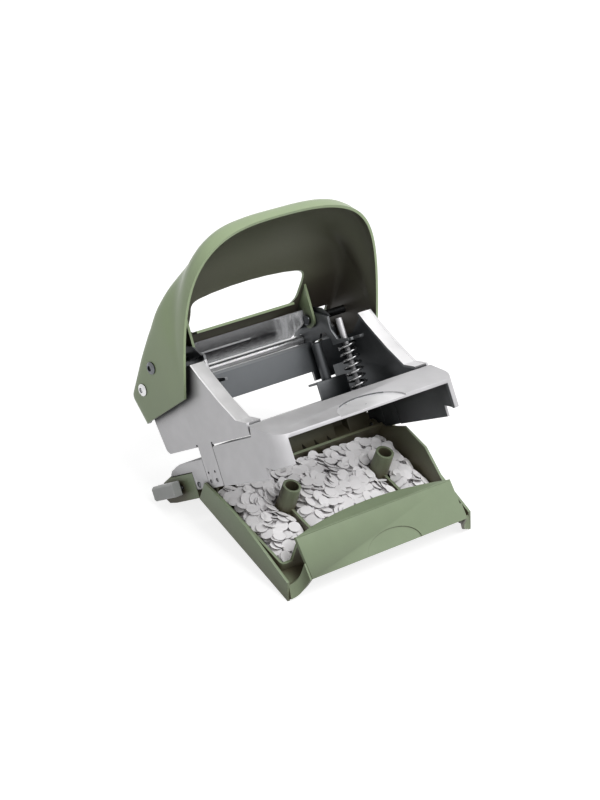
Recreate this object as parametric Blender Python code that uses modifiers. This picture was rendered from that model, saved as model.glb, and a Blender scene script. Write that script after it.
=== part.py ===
"""Two-hole desk punch with its chip tray swung down, modelled in metres, +Z up.

X runs across the punch, -Y is the side of the chip tray and +Y the side where paper goes in.
Shapes are drawn in the level frame of the punch: depth along Y, height along Z, zero height at the
lower edge of the base. Empties then tip the body, the handle and the open tray into their places.
"""

import math

import bmesh
import bpy
import numpy as np
from mathutils import Matrix, Vector

# Overall sizes
HOLE_PITCH = 0.080
PIN_DIAMETER = 0.0055
PIN_DEPTH = 0.0345
SHEET = 0.0015
GAP = 0.0003
OVERRUN = 0.006
BITE = 0.0006

# Base shell
BODY_BESIDE_HOLES = 0.0215
BODY_HALF = HOLE_PITCH / 2 + BODY_BESIDE_HOLES
BASE_FRONT_Y = -0.044
BASE_LIP_LENGTH = 0.018
BASE_LIP_Z = 0.017
BASE_CREST_Y = BASE_FRONT_Y + BASE_LIP_LENGTH
BASE_CREST_Z = 0.026
BASE_STEP_LENGTH = 0.0015
BASE_SIDE_TOP_Z = 0.0202
BASE_SLOPE_START_Y = 0.009
BED_FRONT_Y = 0.0225
BED_Z = 0.0152
BED_FLAT_END_Y = 0.0425
BED_BACK_Y = 0.0531
BED_BACK_Z = 0.0109
BED_LIP_Z = 0.0099
BED_DROP_SHARES = ((0.38, 0.20), (0.85, 0.60))
BASE_BOTTOM_Z = -0.0012
BASE_BOTTOM_SLOPE_SHARE = 0.047
BASE_NOTCH_REACH = 0.015
BASE_NOTCH_Y = BASE_FRONT_Y + BASE_NOTCH_REACH
BASE_NOTCH_Z = 0.0036
BASE_WRAP_REACH = 0.009
BASE_WRAP_Y = BASE_FRONT_Y + BASE_WRAP_REACH
BASE_WRAP_Z = 0.0016
BASE_CORNER_RADIUS = 0.011
BASE_CHEEK = 0.0075
BASE_MOUTH_HALF = BODY_HALF - BASE_CHEEK
BASE_MOUTH_TOP_Z = 0.0150
BASE_RIM = 0.0115
BASE_WELL_HALF = BODY_HALF - BASE_RIM
BASE_WELL_FRONT_Y = -0.0225
BASE_WELL_BACK_Y = 0.018
BASE_WALL_END_Y = 0.0341
THUMB_X = 0.003
THUMB_HALF = 0.022
THUMB_REACH = 0.0125
THUMB_DEPTH = 0.0008

# Upper frame
LEG_FRONT_Y = 0.0100
LEG_BACK_Y = 0.0220
LEG_FOOT_Z = -0.0004
LEG_RELIEF = 0.0013
DIMPLE_DEPTH = 0.0006
DIMPLE_INSET = 0.0022
DIMPLE_SPREAD = 0.0056
DIMPLE_LOW_Z = 0.0031
DIMPLE_HIGH_Z = 0.0076
DIMPLE_RADIUS = 0.0011
DIMPLE_SMALL_RADIUS = 0.0007
FRAME_TOE_LOW_Z = 0.0212
FRAME_LOW_Z = 0.0215
FRAME_BACK_Y = 0.0505
FRAME_BACK_LEAN = 0.0021
FRAME_BACK_KNEE_Z = 0.0386
FRAME_DIP_Z = 0.0532
FRAME_DIP_BACK_Y = 0.0372
FRAME_DIP_FRONT_Y = 0.0270
FRAME_TOP_Z = 0.0627
FRAME_TOP_BACK_Y = 0.0140
FRAME_TOP_FRONT_Y = 0.0080
FRAME_EDGE_SHARES = ((0.152, 0.22), (0.455, 0.61), (0.745, 0.93))
FRAME_TOE_GAP = 0.0018
FRAME_TOE_Y = BASE_CREST_Y + FRAME_TOE_GAP
FRAME_TOE_Z = 0.0275
FRAME_CORNER_RADIUS = 0.004
EAR_RADIUS = 0.0062
STRIP_WIDTH = 0.0090
STRIP_INNER = BODY_HALF - STRIP_WIDTH
FLOOR_TAB_WIDTH = 0.0225
FLOOR_INNER = BODY_HALF - FLOOR_TAB_WIDTH
FLOOR_TAB_FRONT_Y = 0.0085
FLOOR_BEFORE_PINS = 0.0085
FLOOR_FRONT_Y = PIN_DEPTH - FLOOR_BEFORE_PINS
FLOOR_BEHIND_PINS = 0.0145
FLOOR_BACK_Y = PIN_DEPTH + FLOOR_BEHIND_PINS
BACK_WALL_BEHIND_PINS = 0.0041
BACK_WALL_Y = PIN_DEPTH + BACK_WALL_BEHIND_PINS
BACK_WALL_LOW_Z = 0.0395
BACK_WALL_TOP_Z = 0.0540
BACK_WALL_DROP_Z = 0.0344
BACK_WALL_DROP_INSET = 0.0040
BACK_WALL_DROP_X = HOLE_PITCH / 2 - BACK_WALL_DROP_INSET
ARM_SLOT_LOW_Z = 0.0400
ARM_SLOT_CLEARANCE = 0.0010

# Handle
AXLE_Y = 0.0477
AXLE_Z = 0.0574
AXLE_RADIUS = 0.0028
RIVET_Y = 0.0345
RIVET_Z = 0.0669
RIVET_RADIUS = 0.0022
HEAD_RADIUS = 0.0033
HEAD_THICKNESS = 0.0013
HEAD_RIM_SHARE = 0.4
HEAD_HOLE_SHARE = 0.45
HOOD_CLEARANCE = 0.0045
HOOD_HALF = BODY_HALF + HOOD_CLEARANCE
HOOD_CORNER_Y = 0.0148
HOOD_CORNER_Z = 0.0469
HOOD_BACK_FOOT_Y = 0.0556
HOOD_BACK_FOOT_Z = 0.0397
HOOD_WALL_FOOT_Y = 0.0611
HOOD_WALL_FOOT_Z = 0.0562
HOOD_WALL_TOP_Y = 0.0278
HOOD_WALL_TOP_Z = 0.0879
HOOD_RIDGE_Y = -0.0178
HOOD_RIDGE_Z = 0.1258
HOOD_BROW_Y = -0.0225
HOOD_BROW_Z = 0.1215
HOOD_CROWN_SHARES = ((0.13, 0.23), (0.27, 0.43), (0.38, 0.59), (0.50, 0.735), (0.61, 0.83), (0.73, 0.90),
                     (0.86, 0.96))
HOOD_BROW_SHARE = 0.55
HOOD_BROW_DROP_SHARE = 0.40
HOOD_ANGLES = tuple(math.radians(a) for a in (45, 70, 86, 100, 118))
HOOD_POWER_SHARES = (20.0, 12.0, 8.0, 3.4, 4.6)
HOOD_EDGE_BOW = math.radians(3)
HOOD_ROWS = 26
HOOD_COLUMNS = 28
HOOD_WALL_LOW_Z = 0.0717
HOOD_FLANGE = 0.0025
WINDOW_LOW_Z = 0.0778
WINDOW_TOP_Z = 0.0958
WINDOW_SIDE = 0.0276
WINDOW_HALF = HOOD_HALF - WINDOW_SIDE
WINDOW_SHARES = ((-0.80, 0.0), (0.80, 0.0), (0.92, 0.07), (0.97, 0.20), (1.0, 0.68), (0.98, 0.78),
                 (0.92, 0.86), (0.65, 0.94), (0.33, 0.985), (0.0, 1.0), (-0.33, 0.985), (-0.65, 0.94),
                 (-0.92, 0.86), (-0.98, 0.78), (-1.0, 0.68), (-0.97, 0.20), (-0.92, 0.07))
WINDOW_BACK_Y = 0.0100
PRESS_ANGLE = math.radians(34)

ARM_BESIDE_HOLES = 0.0014
ARM_INNER = HOLE_PITCH / 2 + ARM_BESIDE_HOLES
TAB_INNER = ARM_INNER - GAP - SHEET
TAB_LOW_REACH = 0.0270
TAB_HIGH_REACH = 0.0450
TAB_NOSE_RADIUS = 0.0048

# Lever yoke
ARM_TOP_Y = 0.0400
ARM_TOP_Z = 0.0736
ARM_FRONT_Y = 0.0204
ARM_FRONT_Z = 0.0656
ARM_STRAP_SHARES = ((-0.03, 0.45), (0.20, 0.84))
ARM_RELIEF_BEFORE_PINS = 0.0090
ARM_RELIEF_LENGTH = 0.0048
ARM_RELIEF_FRONT_Y = PIN_DEPTH - ARM_RELIEF_BEFORE_PINS
ARM_RELIEF_BACK_Y = ARM_RELIEF_FRONT_Y + ARM_RELIEF_LENGTH
ARM_RELIEF_Z = 0.0578
ARM_PUSH_BEFORE_PINS = 0.0025
ARM_PUSH_BEHIND_PINS = 0.0037
ARM_PUSH_FRONT_Y = PIN_DEPTH - ARM_PUSH_BEFORE_PINS
ARM_PUSH_BACK_Y = PIN_DEPTH + ARM_PUSH_BEHIND_PINS
ARM_PUSH_Z = 0.0553
ARM_PUSH_BACK_Z = 0.0545
ARM_HEEL_Y = 0.0452
ARM_HEEL_Z = 0.0464
ARM_EAR_RADIUS = 0.0062
YOKE_SHEET_Y = 0.0432
YOKE_SHEET_LOW_Z = 0.0635
YOKE_SHEET_TOP_Z = 0.0690
LEDGE_BESIDE_HOLES = 0.0115
LEDGE_OUTER = HOLE_PITCH / 2 + LEDGE_BESIDE_HOLES
LEDGE_Z = 0.0500
LEDGE_FRONT_Y = 0.0070
LEDGE_BACK_Y = 0.0225

# Return springs and their rods
SPRING_BESIDE_HOLES = 0.0060
SPRING_X = HOLE_PITCH / 2 + SPRING_BESIDE_HOLES
SPRING_Y = 0.0170
SPRING_DIAMETER = 0.0109
SPRING_WIRE = 0.0014
SPRING_TURNS = 7
SPRING_POINTS = 9
ROD_RADIUS = 0.00175
ROD_TOP_Z = 0.0632
ROD_COLLAR_RADIUS = 0.0031
ROD_COLLAR_HEIGHT = 0.0012
ROD_SLOT_CLEARANCE = 0.0006

# Punch pins, guides and dies
PIN_TOP_Z = 0.0541
PIN_LOW_Z = 0.0219
GUIDE_INSIDE_HOLES = 0.0105
GUIDE_BESIDE_HOLES = 0.0100
GUIDE_INNER = HOLE_PITCH / 2 - GUIDE_INSIDE_HOLES
GUIDE_OUTER = HOLE_PITCH / 2 + GUIDE_BESIDE_HOLES
GUIDE_BEFORE_PINS = 0.0047
GUIDE_FRONT_Y = PIN_DEPTH - GUIDE_BEFORE_PINS
GUIDE_BACK_Y = PIN_DEPTH + ARM_PUSH_BEHIND_PINS
GUIDE_TOP_Z = 0.0334
GUIDE_SHEET = 0.0012
DIE_RADIUS = 0.0046
DIE_FLANGE_RADIUS = 0.0060
DIE_FLANGE = 0.0010

# Guide housing and its sliding bar
HOUSING_FRONT_Y = BASE_WALL_END_Y + GAP
HOUSING_LOW_Z = -0.0040
HOUSING_TOP_Z = 0.0119
HOUSING_STEP_Y = 0.0535
HOUSING_STEP_Z = 0.0104
HOUSING_SHOULDER_Z = 0.0095
HOUSING_BACK_Y = 0.0623
HOUSING_BACK_TOP_Z = 0.0077
HOUSING_HEEL_Y = 0.0641
HOUSING_HEEL_Z = -0.0012
HOUSING_FOOT_Y = 0.0618
HOUSING_FOOT_Z = -0.0034
CHUTE_HALF = 0.0050
TOOTH_PITCH = 0.00875
TOOTH_COUNT = 8
TOOTH_FIRST_X = -0.0325
TOOTH_RUN_SHARE = 0.58
TOOTH_TOP_Z = 0.0048
TOOTH_FOOT_Z = -0.0010
TOOTH_DEPTH = 0.0025
BAR_FRONT_Y = 0.0460
BAR_BACK_Y = 0.0600
BAR_LOW_Z = 0.0025
BAR_THICKNESS = 0.0014
BAR_END_DEPTH = 0.0065
BAR_RIGHT_X = BODY_HALF - BAR_END_DEPTH
BAR_FLANGE_Z = 0.0065
CLIP_STAND_OFF = 0.0025
CLIP_INNER_X = BODY_HALF + CLIP_STAND_OFF
CLIP_WIDTH = 0.0080
CLIP_OUTER_X = CLIP_INNER_X + CLIP_WIDTH
CLIP_FRONT_Y = 0.0440
CLIP_BACK_Y = 0.0630
CLIP_LOW_Z = -0.0003
CLIP_TOP_Z = 0.0075

# Chip tray, drawn closed
HINGE_Y = 0.03106
HINGE_Z = 0.00275
TRAY_OPEN = math.radians(48.5)
TRAY_WALL = 0.0016
SKIRT_CLEARANCE = 0.0004
SKIRT_INNER = BODY_HALF + SKIRT_CLEARANCE
SKIRT_OUTER = SKIRT_INNER + TRAY_WALL
SKIRT_TIP_REACH = 0.0058
SKIRT_TIP_Y = BASE_FRONT_Y - SKIRT_TIP_REACH
SKIRT_TIP_Z = -0.0057
SKIRT_BACK_Y = 0.0263
SKIRT_BACK_Z = -0.0022
SKIRT_TOP_Z = 0.0097
SKIRT_TOP_SHARES = ((1.0, 0.95), (0.786, 1.0), (0.537, 0.96), (0.055, 0.59))
BIN_HALF = BODY_HALF - SHEET - GAP
BIN_FRONT_DEPTH = 0.0080
BIN_FRONT_Y = BASE_FRONT_Y + BIN_FRONT_DEPTH
BIN_CORNER_RADIUS = 0.0030
BIN_LOW_RIM_Z = 0.0054
BIN_BACK_RIM_Z = 0.0080
BIN_HIGH_RIM_Z = 0.0184
BIN_HIGH_SHARES = ((0.745, 1.0), (0.46, 0.99), (0.18, 0.65), (0.08, 0.55))
FRONT_WALL_TOP_Z = 0.0166
PANEL_END_GAP = 0.0010
PANEL_HALF = BASE_MOUTH_HALF - PANEL_END_GAP
PANEL_DEPTH = 0.0110
PANEL_TOP_Y = BASE_FRONT_Y + PANEL_DEPTH
PANEL_TOP_Z = 0.0197
PANEL_REACH = 0.0079
PANEL_LOW_Y = BASE_FRONT_Y - PANEL_REACH
PANEL_LOW_Z = 0.0076
PANEL_THICKNESS = 0.0018
CRESCENT_DEPTH = 0.0078
CRESCENT_Y = PANEL_TOP_Y + CRESCENT_DEPTH
GRIP_HALF = 0.0185
GRIP_REACH = 0.0098
GRIP_DEPTH = 0.0005
CRESCENT_DROP = 0.0020
CRESCENT_THICKNESS = 0.0014
POST_INSIDE_HOLES = 0.0080
POST_X = HOLE_PITCH / 2 - POST_INSIDE_HOLES
POST_Y = -0.0032
POST_TOP_Z = 0.0209
POST_RADIUS = 0.00485
POST_FOOT_RADIUS = 0.0056
POST_BORE_RADIUS = 0.0036
RIB_TOP_Z = 0.0090
HINGE_PIN_RADIUS = 0.0013
HINGE_EAR_RADIUS = 0.0030
HINGE_EAR_WIDTH = 0.0022
HINGE_EAR_OUTER = BIN_HALF - GAP
HINGE_EAR_INNER = HINGE_EAR_OUTER - HINGE_EAR_WIDTH

# Paper chips
HEAP_EDGE_Z = 0.0040
HEAP_CROWN_Z = 0.0105
HEAP_BUMP = 0.0012
HEAP_COLUMNS = 23
HEAP_ROWS = 12

ROUND_STEPS = 32
HEAD_STEPS = 20
ARC_STEPS = 6

def clear_scene():
    for old in list(bpy.data.objects):
        bpy.data.objects.remove(old, do_unlink=True)


def new_collection(name, hidden=False):
    made = bpy.data.collections.new(name)
    bpy.context.scene.collection.children.link(made)
    made.hide_render = hidden
    return made


clear_scene()
PUNCH = new_collection("two_hole_punch")
CUTTERS = new_collection("cutters", hidden=True)


def material(name, rgb, roughness, metallic):
    made = bpy.data.materials.new(name)
    made.use_nodes = True
    shader = made.node_tree.nodes["Principled BSDF"]
    shader.inputs["Base Color"].default_value = (*rgb, 1.0)
    shader.inputs["Roughness"].default_value = roughness
    shader.inputs["Metallic"].default_value = metallic
    made.diffuse_color = (*rgb, 1.0)
    return made


GREEN_PAINT = material("green_paint", (0.135, 0.190, 0.095), 0.45, 0.0)
STEEL = material("plated_steel", (0.56, 0.56, 0.58), 0.30, 1.0)
GREEN_PLASTIC = material("green_plastic", (0.105, 0.165, 0.075), 0.50, 0.0)
SPRING_STEEL = material("spring_steel", (0.45, 0.45, 0.46), 0.28, 1.0)
TOOL_STEEL = material("tool_steel", (0.40, 0.40, 0.42), 0.25, 1.0)
GREY_PLASTIC = material("grey_plastic", (0.25, 0.25, 0.26), 0.45, 0.0)
PAPER = material("paper", (0.80, 0.80, 0.80), 0.85, 0.0)


def empty(name, parent=None, location=(0.0, 0.0, 0.0), tip=0.0):
    made = bpy.data.objects.new(name, None)
    PUNCH.objects.link(made)
    made.parent = parent
    made.location = location
    made.rotation_euler = (tip, 0.0, 0.0)
    return made


def turned_about(point, centre, angle):
    """A depth-height point turned about another, front down for a positive angle."""
    dy, dz = point[0] - centre[0], point[1] - centre[1]
    c, s = math.cos(angle), math.sin(angle)
    return centre[0] + c * dy - s * dz, centre[1] + s * dy + c * dz


# The open tray's tips and the heel of the housing stand on the table, which sets the tilt
OPEN_TIP = turned_about((SKIRT_TIP_Y, SKIRT_TIP_Z), (HINGE_Y, HINGE_Z), TRAY_OPEN)
OPEN_PANEL = turned_about((PANEL_LOW_Y, PANEL_LOW_Z), (HINGE_Y, HINGE_Z), TRAY_OPEN)
TILT = math.atan2(HOUSING_FOOT_Z - OPEN_TIP[1], HOUSING_FOOT_Y - OPEN_TIP[0])
STOOD_TIP = turned_about(OPEN_TIP, (0.0, 0.0), -TILT)
STOOD_PANEL = turned_about(OPEN_PANEL, (0.0, 0.0), -TILT)
STOOD_BACK = turned_about((HOOD_WALL_FOOT_Y, HOOD_WALL_FOOT_Z), (0.0, 0.0), -TILT)
RIVET_END_X = HOOD_HALF + GAP + HEAD_THICKNESS
STAND_X = (CLIP_OUTER_X - RIVET_END_X) / 2
STAND_Y = -(STOOD_PANEL[0] + STOOD_BACK[0]) / 2
STAND_Z = -STOOD_TIP[1]

BODY = empty("body_frame", None, (STAND_X, STAND_Y, STAND_Z), -TILT)
HANDLE = empty("handle_axis", BODY, (0.0, AXLE_Y, AXLE_Z))
TRAY = empty("tray_axis", BODY, (0.0, HINGE_Y, HINGE_Z), TRAY_OPEN)
PIVOTS = {"body": Vector(), "handle": HANDLE.location, "tray": TRAY.location}
PARENTS = {"body": BODY, "handle": HANDLE, "tray": TRAY}


def placed(name, mesh, group="body", look=None):
    """An object drawn in the level frame, hung on the empty of its group."""
    made = bpy.data.objects.new(name, mesh)
    (CUTTERS if look is None else PUNCH).objects.link(made)
    made.parent = PARENTS[group]
    made.location = -PIVOTS[group]
    if look is None:
        made.hide_render = True
        made.display_type = "WIRE"
    else:
        mesh.materials.clear()
        mesh.materials.append(look)
    return made


def finished_mesh(name, bm):
    bmesh.ops.remove_doubles(bm, verts=bm.verts, dist=0.000001)
    bmesh.ops.recalc_face_normals(bm, faces=bm.faces)
    mesh = bpy.data.meshes.new(name)
    bm.to_mesh(mesh)
    bm.free()
    return mesh


def block(name, low, high, group="body", look=None):
    bm = bmesh.new()
    bmesh.ops.create_cube(bm, size=1.0)
    low, high = Vector(low), Vector(high)
    bmesh.ops.scale(bm, vec=high - low, verts=bm.verts)
    bmesh.ops.translate(bm, vec=(low + high) / 2, verts=bm.verts)
    return placed(name, finished_mesh(name, bm), group, look)


ACROSS = Matrix(((0, 0, 1, 0), (1, 0, 0, 0), (0, 1, 0, 0), (0, 0, 0, 1)))
LEVEL = Matrix.Identity(4)
UPRIGHT = Matrix(((1, 0, 0, 0), (0, 0, -1, 0), (0, 1, 0, 0), (0, 0, 0, 1)))


def flat_mesh(name, outline, thickness, matrix):
    """A flat outline, filled and thickened to both sides, as a mesh."""
    bm = bmesh.new()
    verts = [bm.verts.new((u, v, -thickness / 2)) for u, v in outline]
    edges = [bm.edges.new(pair) for pair in zip(verts, verts[1:] + verts[:1])]
    face = bmesh.ops.edgeloop_fill(bm, edges=edges)["faces"]
    grown = bmesh.ops.extrude_face_region(bm, geom=face)["geom"]
    top = [item for item in grown if isinstance(item, bmesh.types.BMVert)]
    bmesh.ops.translate(bm, vec=(0.0, 0.0, thickness), verts=top)
    bmesh.ops.transform(bm, matrix=matrix, verts=bm.verts)
    return finished_mesh(name, bm)


def plate(name, outline, x_from, x_to, group="body", look=None):
    """A side outline in depth and height, given a width from x_from to x_to."""
    middle = Matrix.Translation(((x_from + x_to) / 2, 0.0, 0.0))
    mesh = flat_mesh(name, outline, abs(x_to - x_from), middle @ ACROSS)
    return placed(name, mesh, group, look)


def rod(name, radius, x_from, x_to, y, z, group="body", look=None, steps=ROUND_STEPS):
    bm = bmesh.new()
    bmesh.ops.create_cone(
        bm, cap_ends=True, segments=steps, radius1=radius, radius2=radius, depth=abs(x_to - x_from)
    )
    bmesh.ops.rotate(bm, matrix=Matrix.Rotation(math.pi / 2, 3, "Y"), verts=bm.verts)
    bmesh.ops.translate(bm, vec=((x_from + x_to) / 2, y, z), verts=bm.verts)
    return placed(name, finished_mesh(name, bm), group, look)


def post(name, radius_low, radius_top, x, y, z_from, z_to, group="body", look=None):
    bm = bmesh.new()
    bmesh.ops.create_cone(
        bm, cap_ends=True, segments=ROUND_STEPS, radius1=radius_low, radius2=radius_top,
        depth=z_to - z_from,
    )
    bmesh.ops.translate(bm, vec=(x, y, (z_from + z_to) / 2), verts=bm.verts)
    return placed(name, finished_mesh(name, bm), group, look)


def turned(name, profile, x, y, look, group="body", closed=False):
    """A profile in radius and height, from its top down the outside, spun about a vertical axis."""
    bm = bmesh.new()
    verts = [bm.verts.new((r, 0.0, z)) for r, z in profile]
    pairs = list(zip(verts, verts[1:])) + ([(verts[-1], verts[0])] if closed else [])
    for a, b in pairs:
        bm.edges.new((a, b))
    mesh = bpy.data.meshes.new(name)
    bm.to_mesh(mesh)
    bm.free()
    made = placed(name, mesh, group, look)
    made.location += Vector((x, y, 0.0))
    spin = made.modifiers.new("spin", "SCREW")
    spin.axis = "Z"
    spin.steps = spin.render_steps = ROUND_STEPS
    spin.use_merge_vertices = True
    spin.merge_threshold = 0.00001
    spin.use_smooth_shade = False
    return made


def boolean(target, tool, operation):
    step = target.modifiers.new(operation.lower(), "BOOLEAN")
    step.operation = operation
    step.solver = "EXACT"
    step.object = tool


def cut(target, *tools):
    for tool in tools:
        boolean(target, tool, "DIFFERENCE")


def fuse(target, *tools):
    for tool in tools:
        boolean(target, tool, "UNION")


def arc(centre, radius, start, end, steps=ARC_STEPS):
    """Points along an arc, angles in degrees from +depth towards +height."""
    angles = np.radians(np.linspace(start, end, steps + 1))
    return [(centre[0] + radius * math.cos(a), centre[1] + radius * math.sin(a)) for a in angles]


def rounded(outline, radius, picks):
    """The outline with the corners named by picks rounded."""
    out = []
    count = len(outline)
    for i, p in enumerate(outline):
        if i not in picks:
            out.append(p)
            continue
        p = Vector(p)
        back = Vector(outline[i - 1]) - p
        ahead = Vector(outline[(i + 1) % count]) - p
        reach = min(radius, back.length / 2, ahead.length / 2)
        a, b = p + back.normalized() * reach, p + ahead.normalized() * reach
        for k in range(ARC_STEPS + 1):
            t = k / ARC_STEPS
            out.append(tuple(a * (1 - t) ** 2 + p * 2 * t * (1 - t) + b * t**2))
    return out


def at_shares(shares, start, end):
    """Points at shares of the way from start to end along each axis."""
    return [
        (start[0] + (end[0] - start[0]) * u, start[1] + (end[1] - start[1]) * v) for u, v in shares
    ]


def base_bottom(y):
    return BASE_BOTTOM_Z + BASE_BOTTOM_SLOPE_SHARE * y


def base_top_line(inset=0.0):
    """The upper line of the base from lip to paper bed, moved inwards by the sheet."""
    bed_start = (BED_FLAT_END_Y, BED_Z - inset)
    bed_end = (BED_BACK_Y - inset, BED_BACK_Z - inset / 2)
    return [
        (BASE_FRONT_Y + inset, BASE_LIP_Z - inset / 2),
        (BASE_CREST_Y - inset / 3, BASE_CREST_Z - inset),
        (BASE_CREST_Y + BASE_STEP_LENGTH - inset, BASE_SIDE_TOP_Z - inset),
        (BASE_SLOPE_START_Y, BASE_SIDE_TOP_Z - inset),
        (BED_FRONT_Y, BED_Z - inset),
        bed_start,
        *at_shares(BED_DROP_SHARES, bed_start, bed_end),
        bed_end,
    ]


def base_outline():
    return [
        *base_top_line(),
        (BED_BACK_Y, BED_LIP_Z),
        (BASE_WALL_END_Y, BED_LIP_Z),
        (BASE_WALL_END_Y, base_bottom(BASE_WALL_END_Y)),
        (BASE_NOTCH_Y, base_bottom(BASE_NOTCH_Y)),
        (BASE_NOTCH_Y, BASE_NOTCH_Z),
        (BASE_WRAP_Y, BASE_WRAP_Z),
        (BASE_FRONT_Y, BASE_WRAP_Z),
    ]


def round_edges(obj, width, name, chosen):
    """Bevels the edges that chosen picks from their two end points."""
    bm = bmesh.new()
    bm.from_mesh(obj.data)
    picked = [e for e in bm.edges if chosen(e.verts[0].co, e.verts[1].co)]
    bmesh.ops.bevel(
        bm, geom=picked, offset=width, segments=ARC_STEPS, profile=0.5, affect="EDGES",
        clamp_overlap=True,
    )
    bmesh.ops.recalc_face_normals(bm, faces=bm.faces)
    bm.to_mesh(obj.data)
    bm.free()


def front_corner(half, front):
    def chosen(a, b):
        return (
            abs(abs(a.x) - half) < BITE / 10
            and abs(a.x - b.x) < BITE / 10
            and abs(a.y - front) < BITE / 10
            and abs(b.y - front) < BITE / 10
        )

    return chosen


def half_oval(half, reach, over):
    """A half oval standing on the U axis, with a straight apron below it."""
    curve = [
        (half * math.cos(a), reach * math.sin(a)) for a in np.linspace(0, math.pi, 4 * ARC_STEPS)
    ]
    return [(half, -over), *curve, (-half, -over)]


def on_slope(low, high, x, depth):
    """Places a flat form on a slope seen from the side, its V axis running up the slope."""
    lean = math.atan2(high[1] - low[1], high[0] - low[0])
    return (
        Matrix.Translation((x, low[0], low[1])) @ Matrix.Rotation(lean, 4, "X")
        @ Matrix.Translation((0.0, 0.0, -depth))
    )


def thumb_recess():
    """The shallow half-oval dish pressed into the lip for the thumb."""
    place = on_slope((BASE_FRONT_Y, BASE_LIP_Z), (BASE_CREST_Y, BASE_CREST_Z), THUMB_X, 0.0)
    lift = Matrix.Translation((0.0, 0.0, OVERRUN / 2 - THUMB_DEPTH))
    outline = half_oval(THUMB_HALF, THUMB_REACH, OVERRUN)
    return placed("thumb_recess", flat_mesh("thumb_recess", outline, OVERRUN, place @ lift))


def make_base_shell():
    shell = plate("base_shell", base_outline(), -BODY_HALF, BODY_HALF, look=STEEL)
    round_edges(shell, BASE_CORNER_RADIUS, "corner", front_corner(BODY_HALF, BASE_FRONT_Y))
    low = BASE_BOTTOM_Z - OVERRUN - OVERRUN
    inside = [
        *base_top_line(SHEET), (BED_BACK_Y - SHEET, low), (BASE_FRONT_Y + SHEET, low)
    ]
    hollow = plate("base_hollow", inside, SHEET - BODY_HALF, BODY_HALF - SHEET)
    round_edges(
        hollow, BASE_CORNER_RADIUS - SHEET, "corner",
        front_corner(BODY_HALF - SHEET, BASE_FRONT_Y + SHEET),
    )
    mouth = block(
        "base_mouth",
        (-BASE_MOUTH_HALF, BASE_FRONT_Y - OVERRUN, low - OVERRUN),
        (BASE_MOUTH_HALF, BASE_CREST_Y, BASE_MOUTH_TOP_Z),
    )
    well = block(
        "base_well",
        (-BASE_WELL_HALF, BASE_WELL_FRONT_Y, low),
        (BASE_WELL_HALF, BASE_WELL_BACK_Y, BASE_CREST_Z + OVERRUN),
    )
    cut(shell, hollow, mouth, well, thumb_recess())
    for side in (-1, 1):
        notch = block(
            "leg_notch", (side * BODY_HALF - OVERRUN, LEG_FRONT_Y - GAP, low),
            (side * BODY_HALF + OVERRUN, LEG_BACK_Y + GAP, BASE_CREST_Z),
        )
        hole = post(
            "die_seat", DIE_RADIUS + GAP, DIE_RADIUS + GAP, side * HOLE_PITCH / 2, PIN_DEPTH,
            BED_Z - OVERRUN, BED_Z + OVERRUN,
        )
        bearing = rod(
            "hinge_hole", HINGE_PIN_RADIUS + GAP, side * BODY_HALF - OVERRUN / 2,
            side * BODY_HALF + OVERRUN, HINGE_Y, HINGE_Z,
        )
        cut(shell, notch, hole, bearing)
    return shell


def frame_outline():
    """Side plate of the upper frame with its leg, toe, dip for the rivet and round ear."""
    edge_top = (FRAME_TOP_FRONT_Y, FRAME_TOP_Z)
    edge_low = (FRAME_TOE_Y, FRAME_TOE_Z)
    return [
        *arc((FRAME_BACK_Y - FRAME_CORNER_RADIUS, FRAME_LOW_Z + FRAME_CORNER_RADIUS),
             FRAME_CORNER_RADIUS, -90, 0),
        (FRAME_BACK_Y + FRAME_BACK_LEAN, FRAME_BACK_KNEE_Z),
        *arc((AXLE_Y, AXLE_Z), EAR_RADIUS, 0, 215, 2 * ARC_STEPS),
        (FRAME_DIP_BACK_Y, FRAME_DIP_Z),
        (FRAME_DIP_FRONT_Y, FRAME_DIP_Z),
        (FRAME_TOP_BACK_Y, FRAME_TOP_Z),
        edge_top,
        *at_shares(FRAME_EDGE_SHARES, edge_top, edge_low),
        edge_low,
        (FRAME_TOE_Y, FRAME_TOE_LOW_Z),
        (LEG_FRONT_Y - LEG_RELIEF, FRAME_TOE_LOW_Z),
        (LEG_FRONT_Y - LEG_RELIEF, FRAME_TOE_LOW_Z + LEG_RELIEF),
        (LEG_FRONT_Y, FRAME_TOE_LOW_Z + LEG_RELIEF),
        (LEG_FRONT_Y, LEG_FOOT_Z),
        (LEG_BACK_Y, LEG_FOOT_Z),
        (LEG_BACK_Y, FRAME_LOW_Z + LEG_RELIEF),
        (LEG_BACK_Y + LEG_RELIEF, FRAME_LOW_Z + LEG_RELIEF),
        (LEG_BACK_Y + LEG_RELIEF, FRAME_LOW_Z),
    ]


def strip_outline():
    """The front edge of the side plate as a bent strip one sheet thick."""
    edge_top = (FRAME_TOP_FRONT_Y, FRAME_TOP_Z)
    edge_low = (FRAME_TOE_Y, FRAME_TOE_Z)
    line = [edge_top, *at_shares(FRAME_EDGE_SHARES, edge_top, edge_low), edge_low]
    points = [Vector(p) for p in line]
    outer, inner = [], []
    for i, p in enumerate(points):
        run = points[min(i + 1, len(points) - 1)] - points[max(i - 1, 0)]
        run.normalize()
        inward = Vector((-run.y, run.x))
        outer.append(tuple(p + inward * BITE / 10))
        inner.append(tuple(p + inward * SHEET))
    return outer + inner[::-1]


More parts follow.
